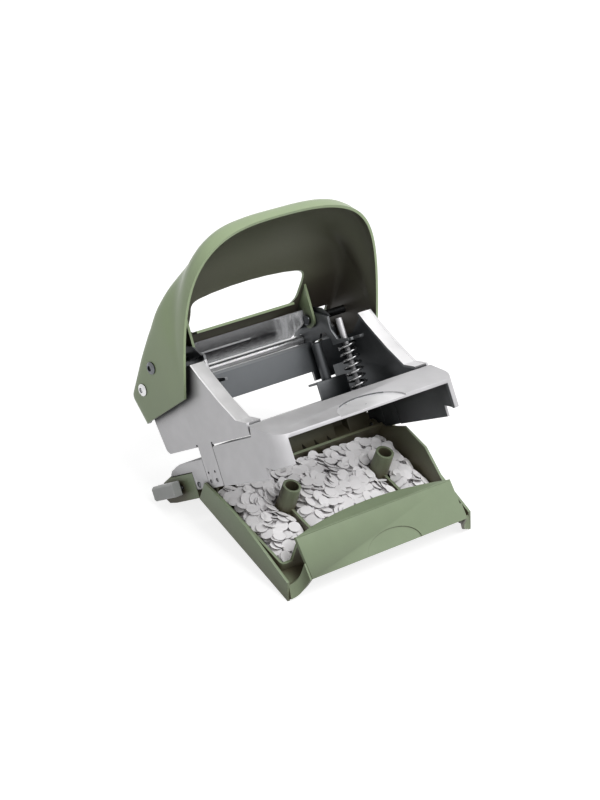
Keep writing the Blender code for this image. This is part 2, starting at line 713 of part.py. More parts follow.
def make_upper_frame():
    frame = plate("upper_frame", frame_outline(), -BODY_HALF, SHEET - BODY_HALF, look=STEEL)
    other = plate("frame_side", frame_outline(), BODY_HALF - SHEET, BODY_HALF)
    half = BODY_HALF - BITE
    middle = Matrix.Translation((0.0, 0.0, FRAME_LOW_Z + SHEET / 2))
    floor = placed("frame_floor", flat_mesh(
        "frame_floor",
        [
            (-half, FLOOR_TAB_FRONT_Y), (-FLOOR_INNER, FLOOR_TAB_FRONT_Y),
            (-FLOOR_INNER, FLOOR_FRONT_Y), (FLOOR_INNER, FLOOR_FRONT_Y),
            (FLOOR_INNER, FLOOR_TAB_FRONT_Y), (half, FLOOR_TAB_FRONT_Y),
            (half, FLOOR_BACK_Y), (-half, FLOOR_BACK_Y),
        ],
        SHEET, middle,
    ))
    wall = flat_mesh(
        "frame_back",
        [
            (BITE - BODY_HALF, BACK_WALL_LOW_Z), (BACK_WALL_DROP_X, BACK_WALL_LOW_Z),
            (BACK_WALL_DROP_X, BACK_WALL_DROP_Z), (GUIDE_OUTER, BACK_WALL_DROP_Z),
            (GUIDE_OUTER, BACK_WALL_LOW_Z), (BODY_HALF - BITE, BACK_WALL_LOW_Z),
            (BODY_HALF - BITE, BACK_WALL_TOP_Z), (BITE - BODY_HALF, BACK_WALL_TOP_Z),
        ],
        SHEET,
        Matrix.Translation((0.0, BACK_WALL_Y + SHEET / 2, 0.0)) @ UPRIGHT,
    )
    fuse(frame, other, floor, placed("frame_back", wall))
    for side in (-1, 1):
        strip = plate("frame_strip", strip_outline(), side * STRIP_INNER, side * (BODY_HALF - BITE))
        fuse(frame, strip)
    for side in (-1, 1):
        hole = post(
            "pin_hole", PIN_DIAMETER / 2 + GAP, PIN_DIAMETER / 2 + GAP, side * HOLE_PITCH / 2,
            PIN_DEPTH, FRAME_LOW_Z - OVERRUN, FRAME_LOW_Z + OVERRUN,
        )
        slot = block(
            "arm_slot",
            (side * (ARM_INNER + SHEET / 2) - SHEET / 2 - ARM_SLOT_CLEARANCE,
             BACK_WALL_Y - OVERRUN, ARM_SLOT_LOW_Z),
            (side * (ARM_INNER + SHEET / 2) + SHEET / 2 + ARM_SLOT_CLEARANCE,
             BACK_WALL_Y + OVERRUN, BACK_WALL_TOP_Z + OVERRUN),
        )
        bearing = rod(
            "axle_hole", AXLE_RADIUS + GAP, side * BODY_HALF - OVERRUN, side * BODY_HALF + OVERRUN,
            AXLE_Y, AXLE_Z,
        )
        cut(frame, hole, slot, bearing)
        drill_leg(frame, side)
    return frame


def drill_leg(frame, side):
    """Four shallow dimples in the foot of each leg."""
    for z, radius in ((DIMPLE_LOW_Z, DIMPLE_RADIUS), (DIMPLE_HIGH_Z, DIMPLE_SMALL_RADIUS)):
        for y in (LEG_BACK_Y - DIMPLE_INSET, LEG_BACK_Y - DIMPLE_INSET - DIMPLE_SPREAD):
            cut(frame, rod(
                "leg_dimple", radius, side * (BODY_HALF - DIMPLE_DEPTH), side * (BODY_HALF + DIMPLE_DEPTH),
                y, z, steps=2 * ARC_STEPS,
            ))


def mirrored_name(name, side):
    return f"{name}_{'left' if side < 0 else 'right'}"


def make_pins():
    radius = PIN_DIAMETER / 2
    tip = radius / 3
    for side in (-1, 1):
        turned(
            mirrored_name("punch_pin", side),
            [
                (0.0, PIN_TOP_Z), (radius * 2 / 3, PIN_TOP_Z), (radius, PIN_TOP_Z - tip),
                (radius, PIN_LOW_Z), (radius - tip, PIN_LOW_Z), (0.0, PIN_LOW_Z + tip),
            ],
            side * HOLE_PITCH / 2, PIN_DEPTH, TOOL_STEEL,
        )


def make_pin_guides():
    for side in (-1, 1):
        low, high = sorted((side * GUIDE_INNER, side * GUIDE_OUTER))
        bottom = FRAME_LOW_Z + SHEET + GAP
        outline = [
            (GUIDE_FRONT_Y, bottom), (GUIDE_FRONT_Y + GUIDE_SHEET, bottom),
            (GUIDE_FRONT_Y + GUIDE_SHEET, GUIDE_TOP_Z - GUIDE_SHEET),
            (GUIDE_BACK_Y, GUIDE_TOP_Z - GUIDE_SHEET), (GUIDE_BACK_Y, GUIDE_TOP_Z),
            (GUIDE_FRONT_Y, GUIDE_TOP_Z),
        ]
        guide = plate(mirrored_name("pin_guide", side), outline, low, high, look=STEEL)
        cut(guide, post(
            "guide_hole", PIN_DIAMETER / 2 + GAP, PIN_DIAMETER / 2 + GAP, side * HOLE_PITCH / 2,
            PIN_DEPTH, GUIDE_TOP_Z - OVERRUN, GUIDE_TOP_Z + OVERRUN,
        ))


def make_dies():
    bore = PIN_DIAMETER / 2 + GAP
    under = BED_Z - SHEET - GAP
    for side in (-1, 1):
        turned(
            mirrored_name("die_ring", side),
            [
                (bore, BED_Z), (DIE_RADIUS, BED_Z), (DIE_RADIUS, under),
                (DIE_FLANGE_RADIUS, under), (DIE_FLANGE_RADIUS, under - DIE_FLANGE),
                (bore, under - DIE_FLANGE),
            ],
            side * HOLE_PITCH / 2, PIN_DEPTH, TOOL_STEEL, closed=True,
        )


def housing_teeth():
    """Clears the foot of the front wall up to a row of saw teeth."""
    outline = [(TOOTH_FIRST_X, HOUSING_LOW_Z - OVERRUN)]
    for i in range(TOOTH_COUNT):
        x = TOOTH_FIRST_X + i * TOOTH_PITCH
        outline += [
            (x, TOOTH_FOOT_Z), (x, TOOTH_TOP_Z), (x + TOOTH_RUN_SHARE * TOOTH_PITCH, TOOTH_FOOT_Z)
        ]
    outline.append((outline[-1][0], HOUSING_LOW_Z - OVERRUN))
    middle = Matrix.Translation((0.0, HOUSING_FRONT_Y, 0.0)) @ UPRIGHT
    return placed("housing_teeth", flat_mesh("housing_teeth", outline, 2 * TOOTH_DEPTH, middle))


def make_housing():
    top = BED_Z - SHEET - GAP - DIE_FLANGE - GAP
    outline = [
        (HOUSING_FRONT_Y, HOUSING_LOW_Z), (HOUSING_FOOT_Y - OVERRUN, HOUSING_LOW_Z),
        (HOUSING_FOOT_Y, HOUSING_FOOT_Z), (HOUSING_HEEL_Y, HOUSING_HEEL_Z),
        (HOUSING_BACK_Y, HOUSING_BACK_TOP_Z), (HOUSING_STEP_Y, HOUSING_STEP_Z),
        (HOUSING_STEP_Y, HOUSING_SHOULDER_Z), (HOUSING_FRONT_Y, HOUSING_SHOULDER_Z),
    ]
    housing = plate("guide_housing", outline, -BODY_HALF, BODY_HALF, look=GREEN_PLASTIC)
    inner = BODY_HALF - SHEET - GAP
    back = BED_BACK_Y - SHEET - GAP
    cap = plate(
        "housing_cap",
        [
            (HOUSING_FRONT_Y, HOUSING_SHOULDER_Z - OVERRUN / 2),
            (back - BITE, HOUSING_SHOULDER_Z - OVERRUN / 2),
            (back - BITE, HOUSING_SHOULDER_Z), (BED_FLAT_END_Y, top), (HOUSING_FRONT_Y, top),
        ],
        -inner, inner,
    )
    bar_slot = block(
        "bar_slot", (-BODY_HALF - OVERRUN, BAR_FRONT_Y - GAP, BAR_LOW_Z - GAP),
        (BAR_RIGHT_X + GAP, BAR_BACK_Y + GAP, BAR_LOW_Z + BAR_THICKNESS + GAP),
    )
    fuse(housing, cap)
    cut(housing, bar_slot, housing_teeth())
    for side in (-1, 1):
        x = side * HOLE_PITCH / 2
        cut(housing, plate(
            "chip_chute",
            [
                (PIN_DEPTH + CHUTE_HALF, HOUSING_TOP_Z + OVERRUN),
                (PIN_DEPTH - CHUTE_HALF - OVERRUN, HOUSING_TOP_Z + OVERRUN),
                (PIN_DEPTH - CHUTE_HALF - OVERRUN, BAR_LOW_Z),
                (HOUSING_FRONT_Y, BAR_LOW_Z),
                (PIN_DEPTH + CHUTE_HALF, BAR_LOW_Z + CHUTE_HALF),
            ],
            x - CHUTE_HALF, x + CHUTE_HALF,
        ))
    return housing


def make_guide_bar():
    bar = block(
        "guide_bar", (-CLIP_INNER_X, BAR_FRONT_Y, BAR_LOW_Z),
        (BAR_RIGHT_X, BAR_BACK_Y, BAR_LOW_Z + BAR_THICKNESS), look=STEEL,
    )
    low, high = -CLIP_INNER_X, -CLIP_INNER_X + SHEET
    fuse(bar, block(
        "bar_flange", (low, BAR_FRONT_Y, CLIP_LOW_Z), (high, BAR_BACK_Y, BAR_FLANGE_Z),
    ))
    corners = [
        (CLIP_FRONT_Y, CLIP_LOW_Z), (CLIP_BACK_Y, CLIP_LOW_Z), (CLIP_BACK_Y, CLIP_TOP_Z),
        (CLIP_FRONT_Y, CLIP_TOP_Z),
    ]
    plate(
        "guide_bar_clip", rounded(corners, SHEET, (0, 1, 2, 3)), -CLIP_OUTER_X,
        -CLIP_INNER_X - GAP, look=GREY_PLASTIC,
    )


def hood_spine():
    """Points along the middle of the hood, from the foot of its back wall to the brow."""
    wall_top = (HOOD_WALL_TOP_Y, HOOD_WALL_TOP_Z)
    ridge = (HOOD_RIDGE_Y, HOOD_RIDGE_Z)
    brow = (HOOD_BROW_Y, HOOD_BROW_Z)
    return [
        (HOOD_BACK_FOOT_Y, HOOD_BACK_FOOT_Z),
        (HOOD_WALL_FOOT_Y, HOOD_WALL_FOOT_Z),
        wall_top,
        *at_shares(HOOD_CROWN_SHARES, wall_top, ridge),
        ridge,
        *at_shares(((HOOD_BROW_SHARE, HOOD_BROW_DROP_SHARE),), ridge, brow),
        brow,
    ]


def hood_reach(angle, spine):
    """Distance from the lower front corner to the spine in a direction, along its segments."""
    corner = Vector((HOOD_CORNER_Y, HOOD_CORNER_Z))
    ray = Vector((math.cos(angle), math.sin(angle)))
    for a, b in zip(spine, spine[1:]):
        p, q = Vector(a) - corner, Vector(b) - corner
        edge = q - p
        cross = ray.x * edge.y - ray.y * edge.x
        t = (p.x * edge.y - p.y * edge.x) / cross
        u = (p.x * ray.y - p.y * ray.x) / cross
        if t > 0 and -0.0001 <= u <= 1.0001:
            return t
    return (Vector(spine[-1]) - corner).length


def hood_power(angle):
    """How square the hood is across: a box at its back wall, rounder towards the crown."""
    return float(np.exp(np.interp(angle, HOOD_ANGLES, np.log(HOOD_POWER_SHARES))))


def hood_point(i, j, spine, start, end):
    """A point of the hood's skin, i rows up from its back foot and j columns across."""
    psi = math.pi * j / HOOD_COLUMNS
    bow = HOOD_EDGE_BOW * math.sin(psi) ** 2 * abs(math.cos(psi)) * 2 * (i / HOOD_ROWS) ** 2
    angle = start + (end - start) * i / HOOD_ROWS + bow
    power = hood_power(angle)
    x = HOOD_HALF * math.copysign(abs(math.cos(psi)) ** (2 / power), math.cos(psi))
    r = hood_reach(angle, spine) * math.sin(psi) ** (2 / power)
    if j in (0, HOOD_COLUMNS):
        r, x = 0.0, math.copysign(HOOD_HALF, x)
    return x, HOOD_CORNER_Y + r * math.cos(angle), HOOD_CORNER_Z + r * math.sin(angle)


def make_hood():
    """A loft of arches that fan out from the lower front corners of the side plates."""
    spine = hood_spine()
    start, end = (
        math.atan2(z - HOOD_CORNER_Z, y - HOOD_CORNER_Y) for y, z in (spine[0], spine[-1])
    )
    bm = bmesh.new()
    grid = [
        [bm.verts.new(hood_point(i, j, spine, start, end)) for j in range(HOOD_COLUMNS + 1)]
        for i in range(HOOD_ROWS + 1)
    ]
    for a, b in zip(grid, grid[1:]):
        for j in range(HOOD_COLUMNS):
            bm.faces.new((a[j], a[j + 1], b[j + 1], b[j]))
    bmesh.ops.remove_doubles(bm, verts=bm.verts, dist=BITE / 20)
    bmesh.ops.recalc_face_normals(bm, faces=bm.faces)
    mesh = bpy.data.meshes.new("handle_hood")
    bm.to_mesh(mesh)
    bm.free()
    return placed("handle_hood", mesh, "handle", GREEN_PAINT)


def make_hood_cutters(hood):
    """Clears the lower back of the hood and its window."""
    foot = [
        (HOOD_WALL_FOOT_Y + OVERRUN, HOOD_BACK_FOOT_Z - OVERRUN),
        (HOOD_WALL_FOOT_Y + OVERRUN, HOOD_WALL_FOOT_Z + OVERRUN),
        (AXLE_Y, HOOD_WALL_LOW_Z), (RIVET_Y, HOOD_WALL_LOW_Z), (RIVET_Y, HOOD_BACK_FOOT_Z - OVERRUN),
    ]
    half = HOOD_HALF - SHEET - HOOD_FLANGE
    cut(hood, plate("hood_foot_cut", foot, -half, half, "handle"))
    outline = at_shares(WINDOW_SHARES, (0.0, WINDOW_LOW_Z), (WINDOW_HALF, WINDOW_TOP_Z))
    depth = HOOD_WALL_FOOT_Y - WINDOW_BACK_Y
    middle = Matrix.Translation((0.0, WINDOW_BACK_Y + depth / 2, 0.0)) @ UPRIGHT
    cut(hood, placed("hood_window", flat_mesh("hood_window", outline, depth, middle), "handle"))


def make_hood_tabs(hood):
    """Tabs that stand forward from the back wall to the inner heads of the rivets."""
    foot = Vector((HOOD_WALL_FOOT_Y, HOOD_WALL_FOOT_Z))
    run = (Vector((HOOD_WALL_TOP_Y, HOOD_WALL_TOP_Z)) - foot).normalized()
    inward = Vector((-run.y, run.x))
    out = TAB_INNER + SHEET
    for side in (-1, 1):
        low = foot + run * TAB_LOW_REACH + inward * (SHEET / 2)
        high = foot + run * TAB_HIGH_REACH + inward * (SHEET / 2)
        outline = [
            tuple(low), tuple(high),
            (RIVET_Y - TAB_NOSE_RADIUS, RIVET_Z + TAB_NOSE_RADIUS),
            *arc((RIVET_Y, RIVET_Z), TAB_NOSE_RADIUS, 180, 300),
        ]
        tab = plate("hood_tab", outline, side * TAB_INNER, side * out, "handle")
        fuse(hood, tab)


def drill_hood(hood):
    for side in (-1, 1):
        for y, z, radius in ((AXLE_Y, AXLE_Z, AXLE_RADIUS), (RIVET_Y, RIVET_Z, RIVET_RADIUS)):
            cut(hood, rod(
                "hood_hole", radius + GAP, side * (HOOD_HALF - OVERRUN / 2),
                side * (HOOD_HALF + OVERRUN), y, z, "handle",
            ))
        cut(hood, rod(
            "tab_hole", RIVET_RADIUS + GAP, side * (TAB_INNER - OVERRUN / 4),
            side * (TAB_INNER + SHEET + OVERRUN / 4), RIVET_Y, RIVET_Z, "handle",
        ))


def arm_outline():
    return [
        (ARM_TOP_Y, ARM_TOP_Z), (ARM_FRONT_Y, ARM_FRONT_Z),
        *at_shares(ARM_STRAP_SHARES, (ARM_FRONT_Y, ARM_FRONT_Z), (LEDGE_FRONT_Y, LEDGE_Z)),
        (LEDGE_FRONT_Y + SHEET, LEDGE_Z + SHEET), (LEDGE_FRONT_Y + SHEET, LEDGE_Z + BITE / 6),
        (LEDGE_BACK_Y - BITE / 6, LEDGE_Z + BITE / 6), (LEDGE_BACK_Y, LEDGE_Z + 2 * SHEET),
        (ARM_RELIEF_FRONT_Y, ARM_RELIEF_Z), (ARM_RELIEF_BACK_Y, ARM_RELIEF_Z),
        (ARM_PUSH_FRONT_Y, ARM_PUSH_Z), (ARM_PUSH_BACK_Y, ARM_PUSH_BACK_Z),
        (ARM_HEEL_Y, ARM_HEEL_Z),
        *arc((AXLE_Y, AXLE_Z), ARM_EAR_RADIUS, -50, 30),
    ]


def make_yoke():
    """Two lever arms joined by a cross sheet, with a forked ledge over each return spring."""
    outer = ARM_INNER + SHEET
    yoke = plate("lever_yoke", arm_outline(), -outer, -ARM_INNER, "handle", STEEL)
    other = plate("yoke_arm", arm_outline(), ARM_INNER, outer, "handle")
    sheet = block(
        "yoke_sheet", (BITE - outer, YOKE_SHEET_Y, YOKE_SHEET_LOW_Z),
        (outer - BITE, YOKE_SHEET_Y + SHEET, YOKE_SHEET_TOP_Z), "handle",
    )
    fuse(yoke, other, sheet)
    for side in (-1, 1):
        low, high = sorted((side * (ARM_INNER + BITE), side * LEDGE_OUTER))
        ledge = block(
            "yoke_ledge", (low, LEDGE_FRONT_Y, LEDGE_Z), (high, LEDGE_BACK_Y, LEDGE_Z + SHEET),
            "handle",
        )
        fuse(yoke, ledge)
        slot = ROD_RADIUS + ROD_SLOT_CLEARANCE
        cut(yoke, block(
            "rod_slot", (side * SPRING_X - slot, LEDGE_FRONT_Y - OVERRUN, LEDGE_Z - OVERRUN),
            (side * SPRING_X + slot, SPRING_Y + slot, LEDGE_Z + OVERRUN), "handle",
        ))
        for y, z, radius in ((AXLE_Y, AXLE_Z, AXLE_RADIUS), (RIVET_Y, RIVET_Z, RIVET_RADIUS)):
            cut(yoke, rod(
                "arm_hole", radius + GAP, side * (ARM_INNER - OVERRUN / 4),
                side * (outer + OVERRUN / 4), y, z, "handle",
            ))


def add_head(shank, side, y, z):
    """A low head with a sloping rim and a drilled end, on the outside of the hood."""
    start = HOOD_HALF + GAP
    rim = start + HEAD_THICKNESS * HEAD_RIM_SHARE
    bm = bmesh.new()
    bmesh.ops.create_cone(
        bm, cap_ends=True, segments=HEAD_STEPS, radius1=HEAD_RADIUS,
        radius2=HEAD_RADIUS - HEAD_THICKNESS, depth=start + HEAD_THICKNESS - rim + BITE / 10,
    )
    bmesh.ops.rotate(bm, matrix=Matrix.Rotation(side * math.pi / 2, 3, "Y"), verts=bm.verts)
    middle = (rim + start + HEAD_THICKNESS - BITE / 10) / 2
    bmesh.ops.translate(bm, vec=(side * middle, y, z), verts=bm.verts)
    fuse(
        shank,
        rod("head_rim", HEAD_RADIUS, side * start, side * rim, y, z, "handle", steps=HEAD_STEPS),
        placed("head_slope", finished_mesh("head_slope", bm), "handle"),
    )
    cut(shank, rod(
        "head_hole", HEAD_RADIUS * HEAD_HOLE_SHARE, side * rim, side * (rim + OVERRUN), y, z,
        "handle", steps=2 * ARC_STEPS,
    ))


def make_axle_and_rivets():
    end = HOOD_HALF + GAP
    axle = rod("pivot_axle", AXLE_RADIUS, -end - BITE / 2, end + BITE / 2, AXLE_Y, AXLE_Z, "handle", STEEL)
    for side in (-1, 1):
        add_head(axle, side, AXLE_Y, AXLE_Z)
        inner = TAB_INNER - GAP
        rivet = rod(
            mirrored_name("handle_rivet", side), RIVET_RADIUS, side * (inner - BITE),
            side * (end + BITE / 2), RIVET_Y, RIVET_Z, "handle", STEEL,
        )
        add_head(rivet, side, RIVET_Y, RIVET_Z)
        fuse(rivet, rod(
            "rivet_tail", HEAD_RADIUS - BITE, side * (inner - HEAD_THICKNESS), side * inner, RIVET_Y,
            RIVET_Z, "handle",
        ))
        washer = rod(
            mirrored_name("axle_washer", side), AXLE_RADIUS + SHEET, side * (BODY_HALF + GAP),
            side * (HOOD_HALF - SHEET - 2 * GAP), AXLE_Y, AXLE_Z, "handle", STEEL,
        )
        cut(washer, rod(
            "washer_hole", AXLE_RADIUS + GAP, side * (BODY_HALF - OVERRUN),
            side * (HOOD_HALF + OVERRUN), AXLE_Y, AXLE_Z, "handle",
        ))


def spring_points():
    radius = (SPRING_DIAMETER - SPRING_WIRE) / 2
    low = FRAME_LOW_Z + SHEET + GAP + SPRING_WIRE / 2
    high = LEDGE_Z - GAP - SPRING_WIRE / 2
    count = SPRING_TURNS * SPRING_POINTS
    points = []
    for i in range(count + 1):
        a = 2 * math.pi * i / SPRING_POINTS
        t = i / count
        points.append((radius * math.cos(a), radius * math.sin(a), low + (high - low) * t))
    return points


def least_gap(points, wire):
    """The least clear distance between stretches of the wire a quarter turn or more apart."""
    p = np.array(points)
    away = SPRING_POINTS // 2
    return min(
        float(np.linalg.norm(p[i + away:] - p[i], axis=1).min()) for i in range(len(p) - away)
    ) - wire


def make_springs():
    points = spring_points()
    for side in (-1, 1):
        curve = bpy.data.curves.new("spring", "CURVE")
        curve.dimensions = "3D"
        curve.bevel_depth = SPRING_WIRE / 2
        curve.bevel_resolution = 1
        curve.use_fill_caps = True
        spline = curve.splines.new("POLY")
        spline.points.add(len(points) - 1)
        for point, place in zip(spline.points, points):
            point.co = (*place, 1.0)
        spring = bpy.data.objects.new(mirrored_name("return_spring", side), curve)
        PUNCH.objects.link(spring)
        spring.parent = BODY
        spring.location = (side * SPRING_X, SPRING_Y, 0.0)
        curve.materials.append(SPRING_STEEL)
        foot = FRAME_LOW_Z + SHEET + GAP
        turned(
            mirrored_name("spring_rod", side),
            [
                (0.0, ROD_TOP_Z), (ROD_RADIUS, ROD_TOP_Z), (ROD_RADIUS, foot + ROD_COLLAR_HEIGHT),
                (ROD_COLLAR_RADIUS, foot + ROD_COLLAR_HEIGHT), (ROD_COLLAR_RADIUS, foot),
                (0.0, foot),
            ],
            side * SPRING_X, SPRING_Y, STEEL,
        )
    print(f"least gap between spring curls {least_gap(points, SPRING_WIRE) * 1000:.2f} mm")


def tray_bottom(y):
    share = (y - SKIRT_TIP_Y) / (SKIRT_BACK_Y - SKIRT_TIP_Y)
    return SKIRT_TIP_Z + (SKIRT_BACK_Z - SKIRT_TIP_Z) * share


def tray_box(name, x_low, x_high, y_low, y_high, z_low, z_high):
    """A prism whose underside follows the sloping bottom of the tray."""
    return plate(
        name,
        [
            (y_low, tray_bottom(y_low) + z_low), (y_high, tray_bottom(y_high) + z_low),
            (y_high, z_high), (y_low, z_high),
        ],
        x_low, x_high, "tray",
    )


def make_tray():
    start = (BIN_FRONT_Y, tray_bottom(BIN_FRONT_Y))
    outline = [
        start, (SKIRT_BACK_Y, SKIRT_BACK_Z), (SKIRT_BACK_Y, BIN_LOW_RIM_Z),
        (BIN_FRONT_Y, BIN_LOW_RIM_Z),
    ]
    tray = plate("chip_tray", outline, -BIN_HALF, BIN_HALF, "tray", GREEN_PLASTIC)
    round_edges(tray, BIN_CORNER_RADIUS, "corner", front_corner(BIN_HALF, BIN_FRONT_Y))
    wall = TRAY_WALL
    add_tray_walls(tray, wall)
    cavity = plate(
        "bin_cavity",
        [
            (BIN_FRONT_Y + wall, tray_bottom(BIN_FRONT_Y + wall) + wall),
            (SKIRT_BACK_Y - wall, tray_bottom(SKIRT_BACK_Y - wall) + wall),
            (SKIRT_BACK_Y - wall, PANEL_TOP_Z + OVERRUN),
            (BIN_FRONT_Y + wall, PANEL_TOP_Z + OVERRUN),
        ],
        wall - BIN_HALF, BIN_HALF - wall, "tray",
    )
    cut(tray, cavity)
    add_tray_front(tray)
    add_tray_posts(tray)
    add_tray_ears(tray)


def add_tray_walls(tray, wall):
    """Skirts on a wider floor, the raised right wall, back wall and front wall."""
    low_line = [
        (BIN_FRONT_Y + BITE, tray_bottom(BIN_FRONT_Y + BITE) + BITE / 10),
        (SKIRT_BACK_Y - BITE, tray_bottom(SKIRT_BACK_Y - BITE) + BITE / 10),
        (SKIRT_BACK_Y - BITE, tray_bottom(SKIRT_BACK_Y - BITE) + wall),
        (BIN_FRONT_Y + BITE, tray_bottom(BIN_FRONT_Y + BITE) + wall),
    ]
    fuse(tray, plate("tray_floor", low_line, BITE - SKIRT_OUTER, SKIRT_OUTER - BITE, "tray"))
    high = [
        (SKIRT_BACK_Y - BITE / 2, BIN_LOW_RIM_Z),
        *at_shares(
            BIN_HIGH_SHARES, (BIN_FRONT_Y + BITE / 2, tray_bottom(BIN_FRONT_Y)),
            (SKIRT_BACK_Y, BIN_HIGH_RIM_Z),
        ),
        (BIN_FRONT_Y + OVERRUN, tray_bottom(BIN_FRONT_Y) + BITE),
        (SKIRT_BACK_Y - BITE / 2, tray_bottom(SKIRT_BACK_Y) + BITE),
    ]
    fuse(
        tray,
        plate("high_wall", high, BIN_HALF - BITE / 10, BIN_HALF - OVERRUN / 2, "tray"),
        block(
            "back_wall", (BITE - BIN_HALF, SKIRT_BACK_Y - OVERRUN, SKIRT_BACK_Z + BITE),
            (BIN_HALF - BITE, SKIRT_BACK_Y - BITE / 10, BIN_BACK_RIM_Z), "tray",
        ),
        block(
            "front_wall", (BITE - BIN_HALF + OVERRUN, BIN_FRONT_Y + BITE / 10, tray_bottom(BIN_FRONT_Y) + BITE),
            (BIN_HALF - OVERRUN - BITE, BIN_FRONT_Y + OVERRUN, FRONT_WALL_TOP_Z), "tray",
        ),
    )


def skirt_outline():
    tip = (SKIRT_TIP_Y, SKIRT_TIP_Z)
    tops = at_shares(
        SKIRT_TOP_SHARES, (SKIRT_TIP_Y, SKIRT_TIP_Z), (SKIRT_BACK_Y, SKIRT_TOP_Z)
    )
    return [tip, (SKIRT_BACK_Y, SKIRT_BACK_Z), *tops]


def add_tray_front(tray):
    """Side skirts, the sloping front panel and the crescent behind its upper edge."""
    for side in (-1, 1):
        fuse(tray, plate("skirt", skirt_outline(), side * SKIRT_INNER, side * SKIRT_OUTER, "tray"))
        toe = [
            (side * SKIRT_OUTER - side * BITE, SKIRT_TIP_Y + BITE),
            (side * SKIRT_OUTER - side * BITE, BIN_FRONT_Y + 2 * BITE),
            (side * (PANEL_HALF - BITE), BIN_FRONT_Y + 2 * BITE),
            (side * (PANEL_HALF - BITE), BIN_FRONT_Y - BITE),
            (side * (SKIRT_INNER - OVERRUN / 2), BIN_FRONT_Y - OVERRUN),
        ]
        if side > 0:
            toe.reverse()
        lean = math.atan2(SKIRT_BACK_Z - SKIRT_TIP_Z, SKIRT_BACK_Y - SKIRT_TIP_Y)
        level = Matrix.Translation((0.0, 0.0, tray_bottom(0.0) + BITE / 5 + TRAY_WALL * 0.4))
        mesh = flat_mesh("tray_toe", toe, TRAY_WALL * 0.8, level @ Matrix.Rotation(lean, 4, "X"))
        fuse(tray, placed("tray_toe", mesh, "tray"))
    run = Vector((PANEL_LOW_Y - PANEL_TOP_Y, PANEL_LOW_Z - PANEL_TOP_Z)).normalized()
    under = Vector((-run.y, run.x)) * PANEL_THICKNESS
    top, low = Vector((PANEL_TOP_Y, PANEL_TOP_Z)), Vector((PANEL_LOW_Y, PANEL_LOW_Z))
    panel = plate(
        "panel", [tuple(p) for p in (top, low, low + under, top + under)], -PANEL_HALF, PANEL_HALF,
        "tray",
    )
    depth = CRESCENT_Y - PANEL_TOP_Y
    chord = PANEL_HALF - BITE
    radius = (chord**2 + depth**2) / (2 * depth)
    spread = math.degrees(math.asin(chord / radius))
    outline = arc((0.0, depth - radius), radius, 90 - spread, 90 + spread, 2 * ARC_STEPS)
    outline += [(-chord, -BITE), (chord, -BITE)]
    lean = -math.atan2(CRESCENT_DROP, depth)
    matrix = (
        Matrix.Translation((0.0, PANEL_TOP_Y, PANEL_TOP_Z)) @ Matrix.Rotation(lean, 4, "X")
        @ Matrix.Translation((0.0, 0.0, -CRESCENT_THICKNESS / 2 - BITE / 6))
    )
    mesh = flat_mesh("crescent", outline, CRESCENT_THICKNESS, matrix)
    fuse(tray, panel, placed("crescent", mesh, "tray"))
    place = on_slope(tuple(low), tuple(top), THUMB_X, GRIP_DEPTH)
    lift = Matrix.Translation((0.0, 0.0, OVERRUN / 2))
    grip = flat_mesh("panel_grip", half_oval(GRIP_HALF, GRIP_REACH, OVERRUN), OVERRUN, place @ lift)
    cut(tray, placed("panel_grip", grip, "tray"))


def add_tray_posts(tray):
    for side in (-1, 1):
        x = side * POST_X
        floor = tray_bottom(POST_Y) + BITE
        fuse(tray, post("post", POST_FOOT_RADIUS, POST_RADIUS, x, POST_Y, floor, POST_TOP_Z, "tray"))
        fuse(tray, tray_box(
            "rib", x - TRAY_WALL / 2, x + TRAY_WALL / 2, BIN_FRONT_Y + BITE, POST_Y - POST_RADIUS / 2,
            BITE, RIB_TOP_Z,
        ))
    for side in (-1, 1):
        cut(tray, post(
            "post_bore", POST_BORE_RADIUS, POST_BORE_RADIUS, side * POST_X, POST_Y,
            tray_bottom(POST_Y) + 2 * TRAY_WALL, POST_TOP_Z + OVERRUN, "tray",
        ))


def add_tray_ears(tray):
    for side in (-1, 1):
        low, high = sorted((side * HINGE_EAR_INNER, side * HINGE_EAR_OUTER))
        outline = [
            (SKIRT_BACK_Y - BITE, HINGE_Z - HINGE_EAR_RADIUS * 0.9),
            *arc((HINGE_Y, HINGE_Z), HINGE_EAR_RADIUS, -90, 90),
            (SKIRT_BACK_Y - BITE, HINGE_Z + HINGE_EAR_RADIUS * 0.9),
        ]
        fuse(tray, plate("hinge_ear", outline, low, high, "tray"))
    for side in (-1, 1):
        cut(tray, rod(
            "ear_hole", HINGE_PIN_RADIUS + GAP, side * (HINGE_EAR_INNER - OVERRUN / 4),
            side * (HINGE_EAR_OUTER + OVERRUN / 4), HINGE_Y, HINGE_Z, "tray",
        ))
        rod(
            mirrored_name("tray_hinge_pin", side), HINGE_PIN_RADIUS, side * HINGE_EAR_INNER,
            side * BODY_HALF, HINGE_Y, HINGE_Z, look=STEEL,
        )


def heap_height(x, y):
    """The chips lie highest in the middle, in soft bumps."""
    across = 1 - (x / BIN_HALF) ** 4
    along = math.cos(math.pi * (y - (BIN_FRONT_Y + SKIRT_BACK_Y) / 2) / (SKIRT_BACK_Y - BIN_FRONT_Y))
    wave = math.sin(x / POST_RADIUS) * math.cos(y / POST_BORE_RADIUS)
    rise = (HEAP_CROWN_Z - HEAP_EDGE_Z) * across * max(along, 0.0) ** 0.5
    return HEAP_EDGE_Z + rise + HEAP_BUMP * wave * across


